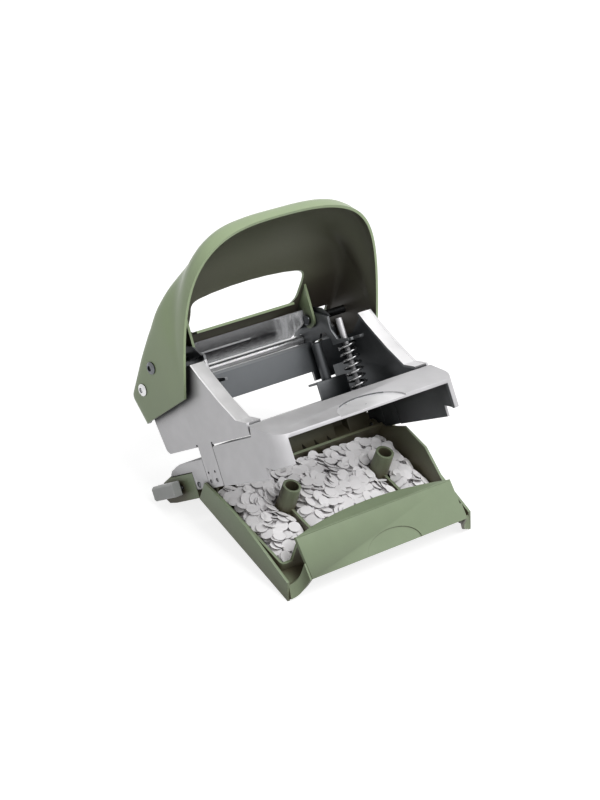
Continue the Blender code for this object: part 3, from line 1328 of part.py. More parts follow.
def make_chips():
    half = BIN_HALF - TRAY_WALL - GAP
    front = BIN_FRONT_Y + TRAY_WALL + GAP
    back = SKIRT_BACK_Y - TRAY_WALL - GAP
    bm = bmesh.new()
    bmesh.ops.create_grid(bm, x_segments=HEAP_COLUMNS, y_segments=HEAP_ROWS, size=1.0)
    for vert in bm.verts:
        vert.co.x *= half
        vert.co.y = front + (back - front) * (vert.co.y + 1) / 2
        vert.co.z = tray_bottom(vert.co.y) + TRAY_WALL + GAP
    lifted = bmesh.ops.extrude_face_region(bm, geom=bm.faces[:])
    for item in lifted["geom"]:
        if isinstance(item, bmesh.types.BMVert):
            item.co.z = heap_height(item.co.x, item.co.y)
    chips = placed("paper_chips", finished_mesh("paper_chips", bm), "tray", PAPER)
    for side in (-1, 1):
        x = side * POST_X
        room = GAP + BITE / 2
        cut(chips, post(
            "chip_room", POST_FOOT_RADIUS + room, POST_RADIUS + room, x, POST_Y,
            tray_bottom(POST_Y) - OVERRUN, POST_TOP_Z, "tray",
        ), block(
            "rib_room", (x - TRAY_WALL / 2 - room, BIN_FRONT_Y, -2 * OVERRUN),
            (x + TRAY_WALL / 2 + room, POST_Y, 3 * OVERRUN), "tray",
        ))


def thicken_hood(hood):
    shell = hood.modifiers.new("sheet", "SOLIDIFY")
    shell.thickness = SHEET
    shell.offset = -1.0
    shell.use_even_offset = True


def all_parts():
    make_base_shell()
    make_upper_frame()
    make_pins()
    make_pin_guides()
    make_dies()
    make_housing()
    make_guide_bar()
    hood = make_hood()
    thicken_hood(hood)
    make_hood_cutters(hood)
    make_hood_tabs(hood)
    drill_hood(hood)
    make_yoke()
    make_axle_and_rivets()
    make_springs()
    make_tray()
    make_chips()


all_parts()
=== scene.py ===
"""A two-hole desk punch that stands on its open chip tray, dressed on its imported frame."""

import math
import random

import bmesh
import bpy
from mathutils import Matrix, Vector


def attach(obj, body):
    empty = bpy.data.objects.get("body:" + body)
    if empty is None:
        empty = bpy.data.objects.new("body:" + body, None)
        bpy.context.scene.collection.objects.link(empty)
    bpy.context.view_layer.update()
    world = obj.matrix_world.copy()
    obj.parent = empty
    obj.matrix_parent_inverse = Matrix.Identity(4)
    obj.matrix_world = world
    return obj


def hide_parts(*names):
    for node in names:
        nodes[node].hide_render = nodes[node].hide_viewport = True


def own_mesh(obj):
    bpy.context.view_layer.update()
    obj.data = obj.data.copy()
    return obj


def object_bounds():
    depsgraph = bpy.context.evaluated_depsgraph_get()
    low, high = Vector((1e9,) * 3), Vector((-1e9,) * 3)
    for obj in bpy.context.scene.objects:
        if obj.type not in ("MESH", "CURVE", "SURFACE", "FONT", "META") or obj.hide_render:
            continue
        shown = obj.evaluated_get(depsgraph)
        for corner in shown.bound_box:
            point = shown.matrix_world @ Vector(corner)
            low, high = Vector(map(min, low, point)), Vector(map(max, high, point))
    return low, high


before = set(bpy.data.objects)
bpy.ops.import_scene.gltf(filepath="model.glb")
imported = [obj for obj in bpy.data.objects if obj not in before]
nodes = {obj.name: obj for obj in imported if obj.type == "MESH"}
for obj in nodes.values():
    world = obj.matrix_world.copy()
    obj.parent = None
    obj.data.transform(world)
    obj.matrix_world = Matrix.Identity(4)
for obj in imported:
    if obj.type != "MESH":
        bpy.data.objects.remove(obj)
cad_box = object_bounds()

# Viewpoint. The punch is seen from its left front, from above and through a long lens, so its
# parallel edges stay nearly parallel and the whole object sits in the middle of the frame.
SENSOR_MM, LENS_MM = 36.0, 110.76
EYE = (-0.76691, -0.76941, 0.71322)
EYE_TURN_DEGREES = (58.8259, -7.1484, -40.2499)
lens = bpy.data.cameras.new("camera")
lens.sensor_fit = "VERTICAL"
lens.sensor_height = SENSOR_MM
lens.lens = LENS_MM
camera = bpy.data.objects.new("camera", lens)
camera.location = EYE
camera.rotation_euler = [math.radians(a) for a in EYE_TURN_DEGREES]
bpy.context.scene.collection.objects.link(camera)
bpy.context.scene.camera = camera

# Base shell. One deep-drawn tray of sheet steel, nickel plated, with its lip turned forward and
# cut away over the mouth of the chip tray. The plating is bright but softened by the pressing,
# and painted shade darkens it where the walls stand close together.
# The dark colour of the painted shade on the metals.
SHEET_SHADE = "#25272a"
PLATE_METAL = 0.35
PRESS_MARK_MM = 9.0
PLATE_GRAIN_MM = 0.35
GRAIN_DEPTH = 0.0001
CLOUD_DETAIL, GRAIN_DETAIL = 3.0, 2.0
CLOUD_LOW, CLOUD_HIGH = 0.3, 0.7
GLOSS_LOW_SHARE, GLOSS_HIGH_SHARE = 0.8, 1.2
HOLLOW_SAMPLES = 12
SAME_POINT = 0.000004
SAME_PLANE_DEGREES = 0.6
EDGE_ROUND, SHELL_ROUND = 0.00035, 0.0006
EDGE_STEPS, EDGE_DEGREES = 3, 32
BODY_TILT = math.radians(-37.5754)
BODY_PLACE = Matrix.Translation((0.0022, -0.01331, 0.04038)) @ Matrix.Rotation(BODY_TILT, 4, "X")
SIDE_WALL_X = 0.045
MOSTLY, PARTLY = 0.7, 0.4
LIP_Z, CREST_Z, LIP_FRONT_Y, CREST_Y = 0.0150, 0.0262, -0.0442, -0.0255
THUMB_X, THUMB_HALF, THUMB_REACH = 0.0030, 0.0222, 0.0127


def linear(code):
    """A hex sRGB colour as linear red, green, blue and alpha."""
    parts = [int(code[i:i + 2], 16) / 255 for i in (1, 3, 5)]
    return (*[c / 12.92 if c <= 0.04045 else ((c + 0.055) / 1.055) ** 2.4 for c in parts], 1.0)


def per_mm(size):
    """The scale of a pattern whose features are this many millimetres across."""
    return 1000 / size


def node(tree, kind, sockets=None, **settings):
    """Adds a node with its settings, the values of its sockets and the links into them."""
    made = tree.nodes.new(kind)
    for key, value in settings.items():
        setattr(made, key, value)
    for key, value in (sockets or {}).items():
        if isinstance(value, bpy.types.NodeSocket):
            tree.links.new(value, made.inputs[key])
        else:
            made.inputs[key].default_value = value
    return made


def worn_and_shaded_surface(name, light, dark, gloss, hollow, depth, cloud_mm, grain_mm, bump,
                 metal=0.0, mottle=0.05, painted_top_light=None):
    """A finish with soft clouds of tone and gloss, a fine grain, and painted shade in its hollows.

    It turns from light to dark with painted shade where other faces stand within the length hollow:
    dark at the first share of open sky in depth, and light from the second. Tone varies by mottle. A
    painted top light, a painted highlight, makes it lighter from one height to another, up to a
    factor. A grain too fine to show, as that of every metal here, is drawn as coarse as it needs to show.
    """
    made = bpy.data.materials.new(name)
    made.use_nodes = True
    tree = made.node_tree
    shader = tree.nodes["Principled BSDF"]
    place = node(tree, "ShaderNodeTexCoord").outputs["Object"]
    cloud = node(tree, "ShaderNodeTexNoise", {
        "Vector": place, "Scale": per_mm(cloud_mm), "Detail": CLOUD_DETAIL}).outputs["Fac"]
    grain = node(tree, "ShaderNodeTexNoise", {
        "Vector": place, "Scale": per_mm(grain_mm), "Detail": GRAIN_DETAIL}).outputs["Fac"]
    tone = node(tree, "ShaderNodeMapRange", {
        "Value": cloud, "From Min": CLOUD_LOW, "From Max": CLOUD_HIGH,
        "To Min": 1 - mottle, "To Max": 1 + mottle}).outputs["Result"]
    # Painted highlight: the colour grows lighter with height, as where light falls on the top.
    if painted_top_light:
        top_light_low, top_light_high, top_light_gain = painted_top_light
        height = node(tree, "ShaderNodeSeparateXYZ", {"Vector": place}).outputs["Z"]
        top_shine = node(tree, "ShaderNodeMapRange", {
            "Value": height, "From Min": top_light_low, "From Max": top_light_high, "To Min": 1.0, "To Max": top_light_gain})
        tone = node(tree, "ShaderNodeMath", {
            0: tone, 1: top_shine.outputs["Result"]}, operation="MULTIPLY").outputs["Value"]
    face = node(tree, "ShaderNodeVectorMath", {0: linear(light)[:3], "Scale": tone}, operation="SCALE")
    # Painted shade: the colour turns dark where other faces stand near.
    open_sky = node(tree, "ShaderNodeAmbientOcclusion", {"Distance": hollow}, samples=HOLLOW_SAMPLES)
    lit = node(tree, "ShaderNodeMapRange", {
        "Value": open_sky.outputs["AO"], "From Min": depth[0], "From Max": depth[1]},
        interpolation_type="SMOOTHSTEP")
    colour = node(tree, "ShaderNodeMix", {
        0: lit.outputs["Result"], 6: linear(dark), 7: face.outputs["Vector"]}, data_type="RGBA")
    sheen = node(tree, "ShaderNodeMapRange", {
        "Value": cloud, "To Min": gloss * GLOSS_LOW_SHARE, "To Max": gloss * GLOSS_HIGH_SHARE})
    relief = node(tree, "ShaderNodeBump", {"Strength": bump, "Distance": GRAIN_DEPTH, "Height": grain})
    shader.inputs["Metallic"].default_value = metal
    tree.links.new(colour.outputs[2], shader.inputs["Base Color"])
    tree.links.new(sheen.outputs["Result"], shader.inputs["Roughness"])
    tree.links.new(relief.outputs["Normal"], shader.inputs["Normal"])
    return made


def soften(piece, width, degrees):
    """Rounds the edges of a piece that turn by more than some degrees."""
    edge = piece.modifiers.new("edge", "BEVEL")
    edge.width = width
    edge.segments = EDGE_STEPS
    edge.limit_method = "ANGLE"
    edge.angle_limit = math.radians(degrees)
    edge.harden_normals = True


def dress(name, finish, round_by=EDGE_ROUND):
    """Gives a node of the frame its finish, rounded edges and smooth round faces."""
    piece = nodes[name]
    piece.data.materials.clear()
    piece.data.materials.append(finish)
    for face in piece.data.polygons:
        face.use_smooth = True
    joined = piece.modifiers.new("joined", "WELD")
    joined.merge_threshold = SAME_POINT
    plain = piece.modifiers.new("plain", "DECIMATE")
    plain.decimate_type = "DISSOLVE"
    plain.angle_limit = math.radians(SAME_PLANE_DEGREES)
    plain.delimit = {"MATERIAL"}
    soften(piece, round_by, EDGE_DEGREES)


def also_dress(name, finish, chosen):
    """Gives another finish to the faces chosen by their centre and direction in the body's axes."""
    piece = nodes[name]
    piece.data.materials.append(finish)
    slot = len(piece.data.materials) - 1
    level = BODY_PLACE.inverted()
    for face in piece.data.polygons:
        if chosen(level @ face.center, level.to_3x3() @ face.normal):
            face.material_index = slot


def in_painted_shade(centre, facing):
    """A wall face that looks across the punch, or the underside of the lip: a face given painted shade."""
    across = facing.x * centre.x < 0 and abs(facing.x) > MOSTLY and abs(centre.x) > SIDE_WALL_X
    under = facing.z < -PARTLY and centre.y < 0.0
    return across or under


def in_thumb_dish(centre, facing):
    """A face of the dish that is pressed into the lip for the thumb, which gets a painted highlight."""
    along = (centre.x - THUMB_X) / THUMB_HALF
    back = (centre.y - LIP_FRONT_Y) / THUMB_REACH
    on_lip = facing.z > PARTLY and centre.y < CREST_Y and LIP_Z < centre.z < CREST_Z
    return on_lip and along ** 2 + max(back, 0.0) ** 2 < 1.0


# Nickel plated steel, deep drawn: a pale satin metal with faint clouds from the press, and painted
# shade where the walls stand close. The grain of the plating is drawn coarser than it is, so that it
# shows.
plated_sheet = worn_and_shaded_surface(
    "nickel_plated_sheet", light="#cdccce", dark=SHEET_SHADE, gloss=0.42, hollow=0.060,
    depth=(0.20, 0.85), cloud_mm=PRESS_MARK_MM, grain_mm=PLATE_GRAIN_MM, bump=0.05, metal=PLATE_METAL)
# A darker copy of the same sheet for the faces inside, as painted shade: a dark metal that also
# mirrors its dark surroundings more than it shines.
shaded_inside_sheet = worn_and_shaded_surface(
    "nickel_plated_sheet_painted_shade", light="#77797b", dark="#3f4245", gloss=0.40, hollow=0.050,
    depth=(0.20, 0.95), cloud_mm=12.0, grain_mm=0.4, bump=0.06, metal=0.65)
# The same sheet in the pressed dish, glossier and lightened as a painted highlight: the lightest
# place of the base.
dish_highlight_sheet = worn_and_shaded_surface(
    "nickel_plated_sheet_dish_painted_highlight", light="#f0eff1", dark=SHEET_SHADE, gloss=0.30, hollow=0.010,
    depth=(0.1, 0.8), cloud_mm=6.0, grain_mm=PLATE_GRAIN_MM, bump=0.05, metal=PLATE_METAL)
dress("base_shell", plated_sheet, round_by=SHELL_ROUND)
also_dress("base_shell", shaded_inside_sheet, in_painted_shade)
also_dress("base_shell", dish_highlight_sheet, in_thumb_dish)

# Upper frame with its pins. A folded channel of the same sheet stands in the base on four legs;
# two guide angles riveted to its floor steer the ground tool-steel pins into hardened die rings.
FRAME_ROUND = 0.0007
BACK_WALL_Y, BACK_WALL_TOP, WALL_SHEET = 0.0386, 0.0540, 0.0015
BACK_WALL_FROM_Y, BACK_WALL_FROM_Z = 0.030, 0.033
BEND_UP, BEND_FORWARD = 0.25, 0.2
WALL_LIP_HALF, WALL_LIP_TOP, WALL_LIP_OVERLAP = 0.0402, 0.0552, 0.0004
# ACROSS sets up an outline of depths and heights as a side wall, and UPRIGHT one of widths and
# heights as a back wall.
ACROSS = Matrix(((0, 0, 1, 0), (1, 0, 0, 0), (0, 1, 0, 0), (0, 0, 0, 1)))
UPRIGHT = Matrix(((1, 0, 0, 0), (0, 0, -1, 0), (0, 1, 0, 0), (0, 0, 0, 1)))


def new_piece(name, bm, finish, body):
    """A finished piece at the origin, riding on a body and taking a slot's finish."""
    mesh = bpy.data.meshes.new(name)
    bm.to_mesh(mesh)
    bm.free()
    made = bpy.data.objects.new(name, mesh)
    bpy.context.scene.collection.objects.link(made)
    mesh.materials.append(finish)
    for face in mesh.polygons:
        face.use_smooth = True
    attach(made, body)
    return made


def flat_form(outline, depth, matrix):
    """A flat outline filled and thickened to both sides."""
    bm = bmesh.new()
    verts = [bm.verts.new((u, v, -depth / 2)) for u, v in outline]
    edges = [bm.edges.new(pair) for pair in zip(verts, verts[1:] + verts[:1])]
    face = bmesh.ops.edgeloop_fill(bm, edges=edges)["faces"]
    grown = bmesh.ops.extrude_face_region(bm, geom=face)["geom"]
    top = [item for item in grown if isinstance(item, bmesh.types.BMVert)]
    bmesh.ops.translate(bm, vec=(0.0, 0.0, depth), verts=top)
    bmesh.ops.transform(bm, matrix=matrix, verts=bm.verts)
    bmesh.ops.recalc_face_normals(bm, faces=bm.faces)
    return bm


def flat_shaded(piece):
    """Leaves every face of a piece flat, as sheared sheet and moulded walls are."""
    for face in piece.data.polygons:
        face.use_smooth = False


def on_back_wall(centre, facing):
    """The face of the back wall that looks into the frame, given painted shade as if from the lever."""
    return facing.y < -MOSTLY and centre.y > BACK_WALL_FROM_Y and centre.z > BACK_WALL_FROM_Z


def on_bent_edge(centre, facing):
    """A face of the edge bent inwards along the front of each side wall, given a painted highlight."""
    return facing.z > BEND_UP and facing.y < -BEND_FORWARD and abs(centre.x) > SIDE_WALL_X


# A darker copy of the same sheet on the back wall, painted as the shade of the lever: a lead-grey
# metal with painted shade that deepens where other faces stand close.
back_wall_shaded_sheet = worn_and_shaded_surface(
    "nickel_plated_sheet_back_painted_shade", light="#5b5e61", dark="#27292c", gloss=0.40, hollow=0.030,
    depth=(0.20, 0.95), cloud_mm=PRESS_MARK_MM, grain_mm=PLATE_GRAIN_MM, bump=0.05, metal=PLATE_METAL)
# The same sheet on the bent front edges, lightened as a painted highlight: two near-white strips.
bend_highlight_sheet = worn_and_shaded_surface(
    "nickel_plated_sheet_bend_painted_highlight", light="#e9e8e9", dark=SHEET_SHADE, gloss=0.36, hollow=0.020,
    depth=(0.15, 0.80), cloud_mm=PRESS_MARK_MM, grain_mm=PLATE_GRAIN_MM, bump=0.05, metal=PLATE_METAL)
# Tool steel, ground and oiled: a dark grey rod with a soft highlight along it, and painted shade
# near other parts.
ground_steel = worn_and_shaded_surface(
    "ground_tool_steel", light="#55575a", dark=SHEET_SHADE, gloss=0.42, hollow=0.02,
    depth=(0.15, 0.7), cloud_mm=6.0, grain_mm=0.3, bump=0.05, metal=0.6)
dress("upper_frame", plated_sheet, round_by=FRAME_ROUND)
also_dress("upper_frame", shaded_inside_sheet, in_painted_shade)
also_dress("upper_frame", back_wall_shaded_sheet, on_back_wall)
also_dress("upper_frame", bend_highlight_sheet, on_bent_edge)
# The top strip of the back wall, in the darker copy of the sheet that paints the shade inside.
wall_lip_line = [
    (-WALL_LIP_HALF, BACK_WALL_TOP - WALL_LIP_OVERLAP), (WALL_LIP_HALF, BACK_WALL_TOP - WALL_LIP_OVERLAP),
    (WALL_LIP_HALF, WALL_LIP_TOP), (-WALL_LIP_HALF, WALL_LIP_TOP),
]
wall_middle = Matrix.Translation((0.0, BACK_WALL_Y + WALL_SHEET / 2, 0.0))
wall_lip = new_piece(
    "frame_wall_lip", flat_form(wall_lip_line, WALL_SHEET, BODY_PLACE @ wall_middle @ UPRIGHT),
    shaded_inside_sheet, "base")
flat_shaded(wall_lip)
# The pin guides wear the darker copy of the sheet that paints their shade.
for side in ("left", "right"):
    dress(f"pin_guide_{side}", shaded_inside_sheet)
    dress(f"punch_pin_{side}", ground_steel)
    dress(f"die_ring_{side}", ground_steel)

# Lever and pivot. A yoke bent from sheet joins two arms that press on the pins; it turns on one
# long axle, and rivets with drilled heads clench the hood to its ears.
HEAD_ROUND = 0.0003
CHEEK_INNER, CHEEK_SHEET = 0.0431, 0.0010
CHEEK_LINE = ((0.0455, 0.0682), (0.0385, 0.0747), (0.0255, 0.0708), (0.0204, 0.0656), (0.0320, 0.0640))
APRON_SHEET = 0.0009
APRON_HALF, APRON_BEND_X, APRON_TURN = 0.0392, 0.0220, 0.30
APRON_Y, APRON_LOW_Z, APRON_TOP_Z = 0.0414, 0.0612, 0.0728
APRON_CUT_X, APRON_CUT_RISE = 0.0290, 0.60
APRON_COLUMNS, APRON_ROWS, APRON_FOLD_DEGREES = 60, 2, 12
# Nickel plated sheet of the lever: a grey satin metal that painted shade darkens only a little in
# its hollows.
apron_sheet = worn_and_shaded_surface(
    "nickel_plated_lever", light="#b9babc", dark="#55575a", gloss=0.42, hollow=0.020,
    depth=(0.25, 0.95), cloud_mm=10.0, grain_mm=PLATE_GRAIN_MM, bump=0.05, metal=PLATE_METAL)
# Zinc plated steel, cold headed: small dark mirrors that catch one bright point each, with a little
# painted shade close to other parts.
head_steel = worn_and_shaded_surface(
    "zinc_plated_rivet", light="#6c6e71", dark=SHEET_SHADE, gloss=0.22, hollow=0.004,
    depth=(0.15, 0.85), cloud_mm=4.0, grain_mm=0.3, bump=0.08, metal=1.0)
# Polished steel bar: a white line of light runs along the whole axle; painted shade darkens it
# close to other parts.
polished_rod = worn_and_shaded_surface(
    "polished_steel_rod", light="#e4e4e5", dark="#5a5c5e", gloss=0.20, hollow=0.004,
    depth=(0.1, 0.8), cloud_mm=6.0, grain_mm=0.3, bump=0.03, metal=0.8)
# The yoke wears the darker copy of the sheet that paints its shade.
dress("lever_yoke", shaded_inside_sheet)
# The cheeks, two thin plates on the outer sides of the yoke's arms, in the darker copy of the sheet
# that paints their shade.
for side, name in ((-1, "lever_cheek_left"), (1, "lever_cheek_right")):
    middle = Matrix.Translation((side * (CHEEK_INNER + CHEEK_SHEET / 2), 0.0, 0.0))
    cheek = new_piece(
        name, flat_form(CHEEK_LINE, CHEEK_SHEET, BODY_PLACE @ middle @ ACROSS),
        shaded_inside_sheet, "handle")
    flat_shaded(cheek)
# The apron, a thin plate between the arms; its right end is bent forward, and its low edge rises
# there.
bm = bmesh.new()
bmesh.ops.create_grid(bm, x_segments=APRON_COLUMNS, y_segments=APRON_ROWS, size=1.0)
for vert in bm.verts:
    x = vert.co.x * APRON_HALF
    low = APRON_LOW_Z + max(x - APRON_CUT_X, 0.0) * APRON_CUT_RISE
    forward = max(x - APRON_BEND_X, 0.0) * APRON_TURN
    vert.co = (x, APRON_Y - forward, low + (APRON_TOP_Z - low) * (vert.co.y + 1) / 2)
bmesh.ops.solidify(bm, geom=bm.faces[:], thickness=APRON_SHEET)
bmesh.ops.recalc_face_normals(bm, faces=bm.faces)
bmesh.ops.transform(bm, matrix=BODY_PLACE, verts=bm.verts)
apron = new_piece("lever_apron", bm, apron_sheet, "handle")
apron.data.set_sharp_from_angle(angle=math.radians(APRON_FOLD_DEGREES))
dress("pivot_axle", polished_rod, round_by=HEAD_ROUND)
for side in ("left", "right"):
    dress(f"handle_rivet_{side}", head_steel, round_by=HEAD_ROUND)
    dress(f"axle_washer_{side}", head_steel)

# Return springs. Two compression springs of drawn wire stand on plain rods between the floor of
# the frame and the forked ends of the lever, which press them flat.
WIRE_END_DEGREES = 70
# Spring wire, cold drawn: each turn is a thin bright line over a dark one, which painted shade
# deepens between the turns.
drawn_wire = worn_and_shaded_surface(
    "drawn_spring_wire", light="#a3a3a4", dark=SHEET_SHADE, gloss=0.26, hollow=0.012,
    depth=(0.2, 0.8), cloud_mm=5.0, grain_mm=0.25, bump=0.06, metal=1.0)
for side in ("left", "right"):
    name = f"return_spring_{side}"
    bm = bmesh.new()
    bm.from_mesh(nodes[name].data)
    bmesh.ops.remove_doubles(bm, verts=bm.verts, dist=SAME_POINT)
    spring = new_piece(f"coil_{side}", bm, drawn_wire, "base")
    spring.data.set_sharp_from_angle(angle=math.radians(WIRE_END_DEGREES))
    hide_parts(name)
    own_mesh(spring)
    dress(f"spring_rod_{side}", plated_sheet)

# Hood. The hand bears on this deep-drawn cover of sheet steel, lacquered olive green inside and
# out, which wraps the lever from the foot of its side plates up to the brow.
HOOD_HALF = 0.0662
HOOD_SHEET = 0.0015
HOOD_ROUND = 0.0005
HOOD_SHARP_DEGREES, HOOD_EDGE_DEGREES = 35, 50
LACQUER_COAT = 0.15
HOOD_CORNER = Vector((0.0148, 0.0469))
HOOD_SPINE = (
    (0.0560, 0.0396), (0.0618, 0.0563), (0.0280, 0.0886), (0.0219, 0.0969), (0.0155, 0.1045),
    (0.0105, 0.1107), (0.0049, 0.1163), (-0.0002, 0.1203), (-0.0060, 0.1236), (-0.0121, 0.1260),
    (-0.0185, 0.1270), (-0.0208, 0.1248), (-0.0226, 0.1216),
)
HOOD_ANGLES = [math.radians(a) for a in (45, 70, 86, 100, 118)]
HOOD_POWERS = (28.0, 19.0, 8.5, 3.1, 3.9)
HOOD_BOW = math.radians(2.2)
POWER_SPREAD = math.radians(5)
FOLD_SPREAD = math.radians(2.2)
SPREAD_SHARES = (-1, -0.5, 0, 0.5, 1)
SIDE_EDGE = 0.001
SPINE_TOUCH = 0.0001
ROWS, COLUMNS = 72, 112
HOOD_MERGE = 0.00003
WALL_LOW_Z = 0.0717
AXLE_Y = 0.0477
RIVET_Y, RIVET_Z = 0.0345, 0.0669
FOOT_BACK_Y, FOOT_SIDE_Z, FOOT_LOW_Z, FOOT_SIDE_KEPT = 0.0671, 0.0622, 0.0337, 0.0025
WINDOW_LOW_Z, WINDOW_TOP_Z, WINDOW_HALF = 0.0778, 0.0958, 0.0384
WINDOW_CUT_FRONT_Y, WINDOW_CUT_BACK_Y = 0.0100, 0.0611
WINDOW_SHARES = (
    (-0.80, 0.0), (0.80, 0.0), (0.87, 0.02), (0.92, 0.07), (0.96, 0.14), (0.975, 0.22), (1.0, 0.68),
    (0.995, 0.74), (0.975, 0.80), (0.93, 0.85), (0.86, 0.885), (0.65, 0.94), (0.33, 0.985), (0.0, 1.0),
    (-0.33, 0.985), (-0.65, 0.94), (-0.86, 0.885), (-0.93, 0.85), (-0.975, 0.80), (-0.995, 0.74),
    (-1.0, 0.68), (-0.975, 0.22), (-0.96, 0.14), (-0.92, 0.07), (-0.87, 0.02),
)
SILL_SHEET, SILL_Z = 0.0013, 0.0776
SILL_LINE = ((-0.0330, 0.0372), (-0.0320, 0.0352), (0.0345, 0.0352), (0.0358, 0.0372))


def spine_reach(angle):
    """How far the middle of the hood lies from its front corner in a direction."""
    ray = Vector((math.cos(angle), math.sin(angle)))
    for a, b in zip(HOOD_SPINE, HOOD_SPINE[1:]):
        p, q = Vector(a) - HOOD_CORNER, Vector(b) - HOOD_CORNER
        edge = q - p
        cross = ray.x * edge.y - ray.y * edge.x
        along = (p.x * ray.y - p.y * ray.x) / cross
        if -SPINE_TOUCH <= along <= 1 + SPINE_TOUCH:
            return (p.x * edge.y - p.y * edge.x) / cross
    return (Vector(HOOD_SPINE[-1]) - HOOD_CORNER).length


def hood_power(angle):
    """How square the arch is at an angle, eased between the given powers."""
    if angle <= HOOD_ANGLES[0]:
        return HOOD_POWERS[0]
    for a, b, low, high in zip(HOOD_ANGLES, HOOD_ANGLES[1:], HOOD_POWERS, HOOD_POWERS[1:]):
        if angle <= b:
            return math.exp(math.log(low) + (math.log(high) - math.log(low)) * (angle - a) / (b - a))
    return HOOD_POWERS[-1]


def spine_angle(point):
    """The direction in which a point of the spine lies from the front corner."""
    return math.atan2(point[1] - HOOD_CORNER.y, point[0] - HOOD_CORNER.x)


def hood_point(across, up):
    """A point of the hood: across turns from one side to the other, up goes from foot to brow.

    Its squareness and its reach are averaged over a few close directions, which softens the folds.
    """
    start, end = spine_angle(HOOD_SPINE[0]), spine_angle(HOOD_SPINE[-1])
    lift = HOOD_BOW * math.sin(across) ** 2 * abs(math.cos(across)) * 2 * up ** 2
    angle = start + (end - start) * up + lift
    powers = [hood_power(angle + s * POWER_SPREAD) for s in SPREAD_SHARES]
    power = sum(powers) / len(powers)
    near = [min(max(angle + s * FOLD_SPREAD, start), end) for s in SPREAD_SHARES]
    reach = sum(spine_reach(a) for a in near) / len(near)
    spread = max(math.sin(across), 0.0) ** (2 / power)
    x = HOOD_HALF * math.copysign(abs(math.cos(across)) ** (2 / power), math.cos(across))
    if min(across, math.pi - across) < SIDE_EDGE:
        x, spread = math.copysign(HOOD_HALF, math.cos(across)), 0.0
    return (x, HOOD_CORNER.x + spread * reach * math.cos(angle),
            HOOD_CORNER.y + spread * reach * math.sin(angle))


def settle(piece):
    """Replaces a piece's mesh with the one that its modifiers make."""
    graph = bpy.context.evaluated_depsgraph_get()
    mesh = bpy.data.meshes.new_from_object(piece.evaluated_get(graph))
    piece.modifiers.clear()
    piece.data = mesh


def cut_away(piece, bm, name):
    """Cuts a form out of a piece and leaves the plain result on it."""
    mesh = bpy.data.meshes.new(name)
    bm.to_mesh(mesh)
    bm.free()
    tool = bpy.data.objects.new(name, mesh)
    bpy.context.scene.collection.objects.link(tool)
    step = piece.modifiers.new(name, "BOOLEAN")
    step.operation = "DIFFERENCE"
    step.solver = "EXACT"
    step.object = tool
    settle(piece)
    bpy.data.objects.remove(tool, do_unlink=True)


# Lacquer, sprayed on drawn steel: an even olive skin under a thin clear coat, with a painted
# highlight that lightens it towards the crown and painted shade in its hollows.
lacquer = worn_and_shaded_surface(
    "olive_lacquer", light="#92a27e", dark="#2b2822", gloss=0.38, hollow=0.060, depth=(0.25, 0.80),
    cloud_mm=14.0, grain_mm=0.5, bump=0.10, mottle=0.03, painted_top_light=(0.050, 0.095, 1.28))
lacquer.node_tree.nodes["Principled BSDF"].inputs["Coat Weight"].default_value = LACQUER_COAT
# A darker copy of the same lacquer on the inside faces, as painted shade: a dull green that turns
# brown with deeper painted shade in the depth of the hood.
shaded_lacquer_inside = worn_and_shaded_surface(
    "olive_lacquer_painted_shade_inside", light="#656955", dark="#474139", gloss=0.42, hollow=0.100,
    depth=(0.22, 0.95), cloud_mm=14.0, grain_mm=0.5, bump=0.10, mottle=0.03)
bm = bmesh.new()
bmesh.ops.create_grid(bm, x_segments=COLUMNS, y_segments=ROWS, size=1.0)
for vert in bm.verts:
    vert.co = hood_point(math.pi * (1 - vert.co.x) / 2, (vert.co.y + 1) / 2)
bmesh.ops.remove_doubles(bm, verts=bm.verts, dist=HOOD_MERGE)
bmesh.ops.recalc_face_normals(bm, faces=bm.faces)
bmesh.ops.transform(bm, matrix=BODY_PLACE, verts=bm.verts)
hood = new_piece("hood_shell", bm, lacquer, "handle")
hood.data.materials.append(shaded_lacquer_inside)
wall = hood.modifiers.new("sheet", "SOLIDIFY")
wall.material_offset = 1
wall.thickness = HOOD_SHEET
wall.offset = -1.0
wall.use_even_offset = True
settle(hood)
foot_line = [
    (FOOT_BACK_Y, FOOT_LOW_Z), (FOOT_BACK_Y, FOOT_SIDE_Z), (AXLE_Y, WALL_LOW_Z), (RIVET_Y, WALL_LOW_Z),
    (RIVET_Y, FOOT_LOW_Z),
]
foot_width = 2 * (HOOD_HALF - HOOD_SHEET - FOOT_SIDE_KEPT)
cut_away(hood, flat_form(foot_line, foot_width, BODY_PLACE @ ACROSS), "foot_cut")
window_line = [
    (u * WINDOW_HALF, WINDOW_LOW_Z + v * (WINDOW_TOP_Z - WINDOW_LOW_Z)) for u, v in WINDOW_SHARES
]
window_middle = Matrix.Translation((0.0, (WINDOW_CUT_BACK_Y + WINDOW_CUT_FRONT_Y) / 2, 0.0))
window_depth = WINDOW_CUT_BACK_Y - WINDOW_CUT_FRONT_Y
cut_away(hood, flat_form(window_line, window_depth, BODY_PLACE @ window_middle @ UPRIGHT), "window_cut")
hood.data.set_sharp_from_angle(angle=math.radians(HOOD_SHARP_DEGREES))
soften(hood, HOOD_ROUND, HOOD_EDGE_DEGREES)
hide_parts("handle_hood")
# The sill, a folded edge of the same sheet along the window's foot.
sill_level = Matrix.Translation((0.0, 0.0, SILL_Z))
sill = new_piece(
    "hood_window_sill", flat_form(SILL_LINE, SILL_SHEET, BODY_PLACE @ sill_level),
    lacquer, "handle")
flat_shaded(sill)
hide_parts("handle_hood")

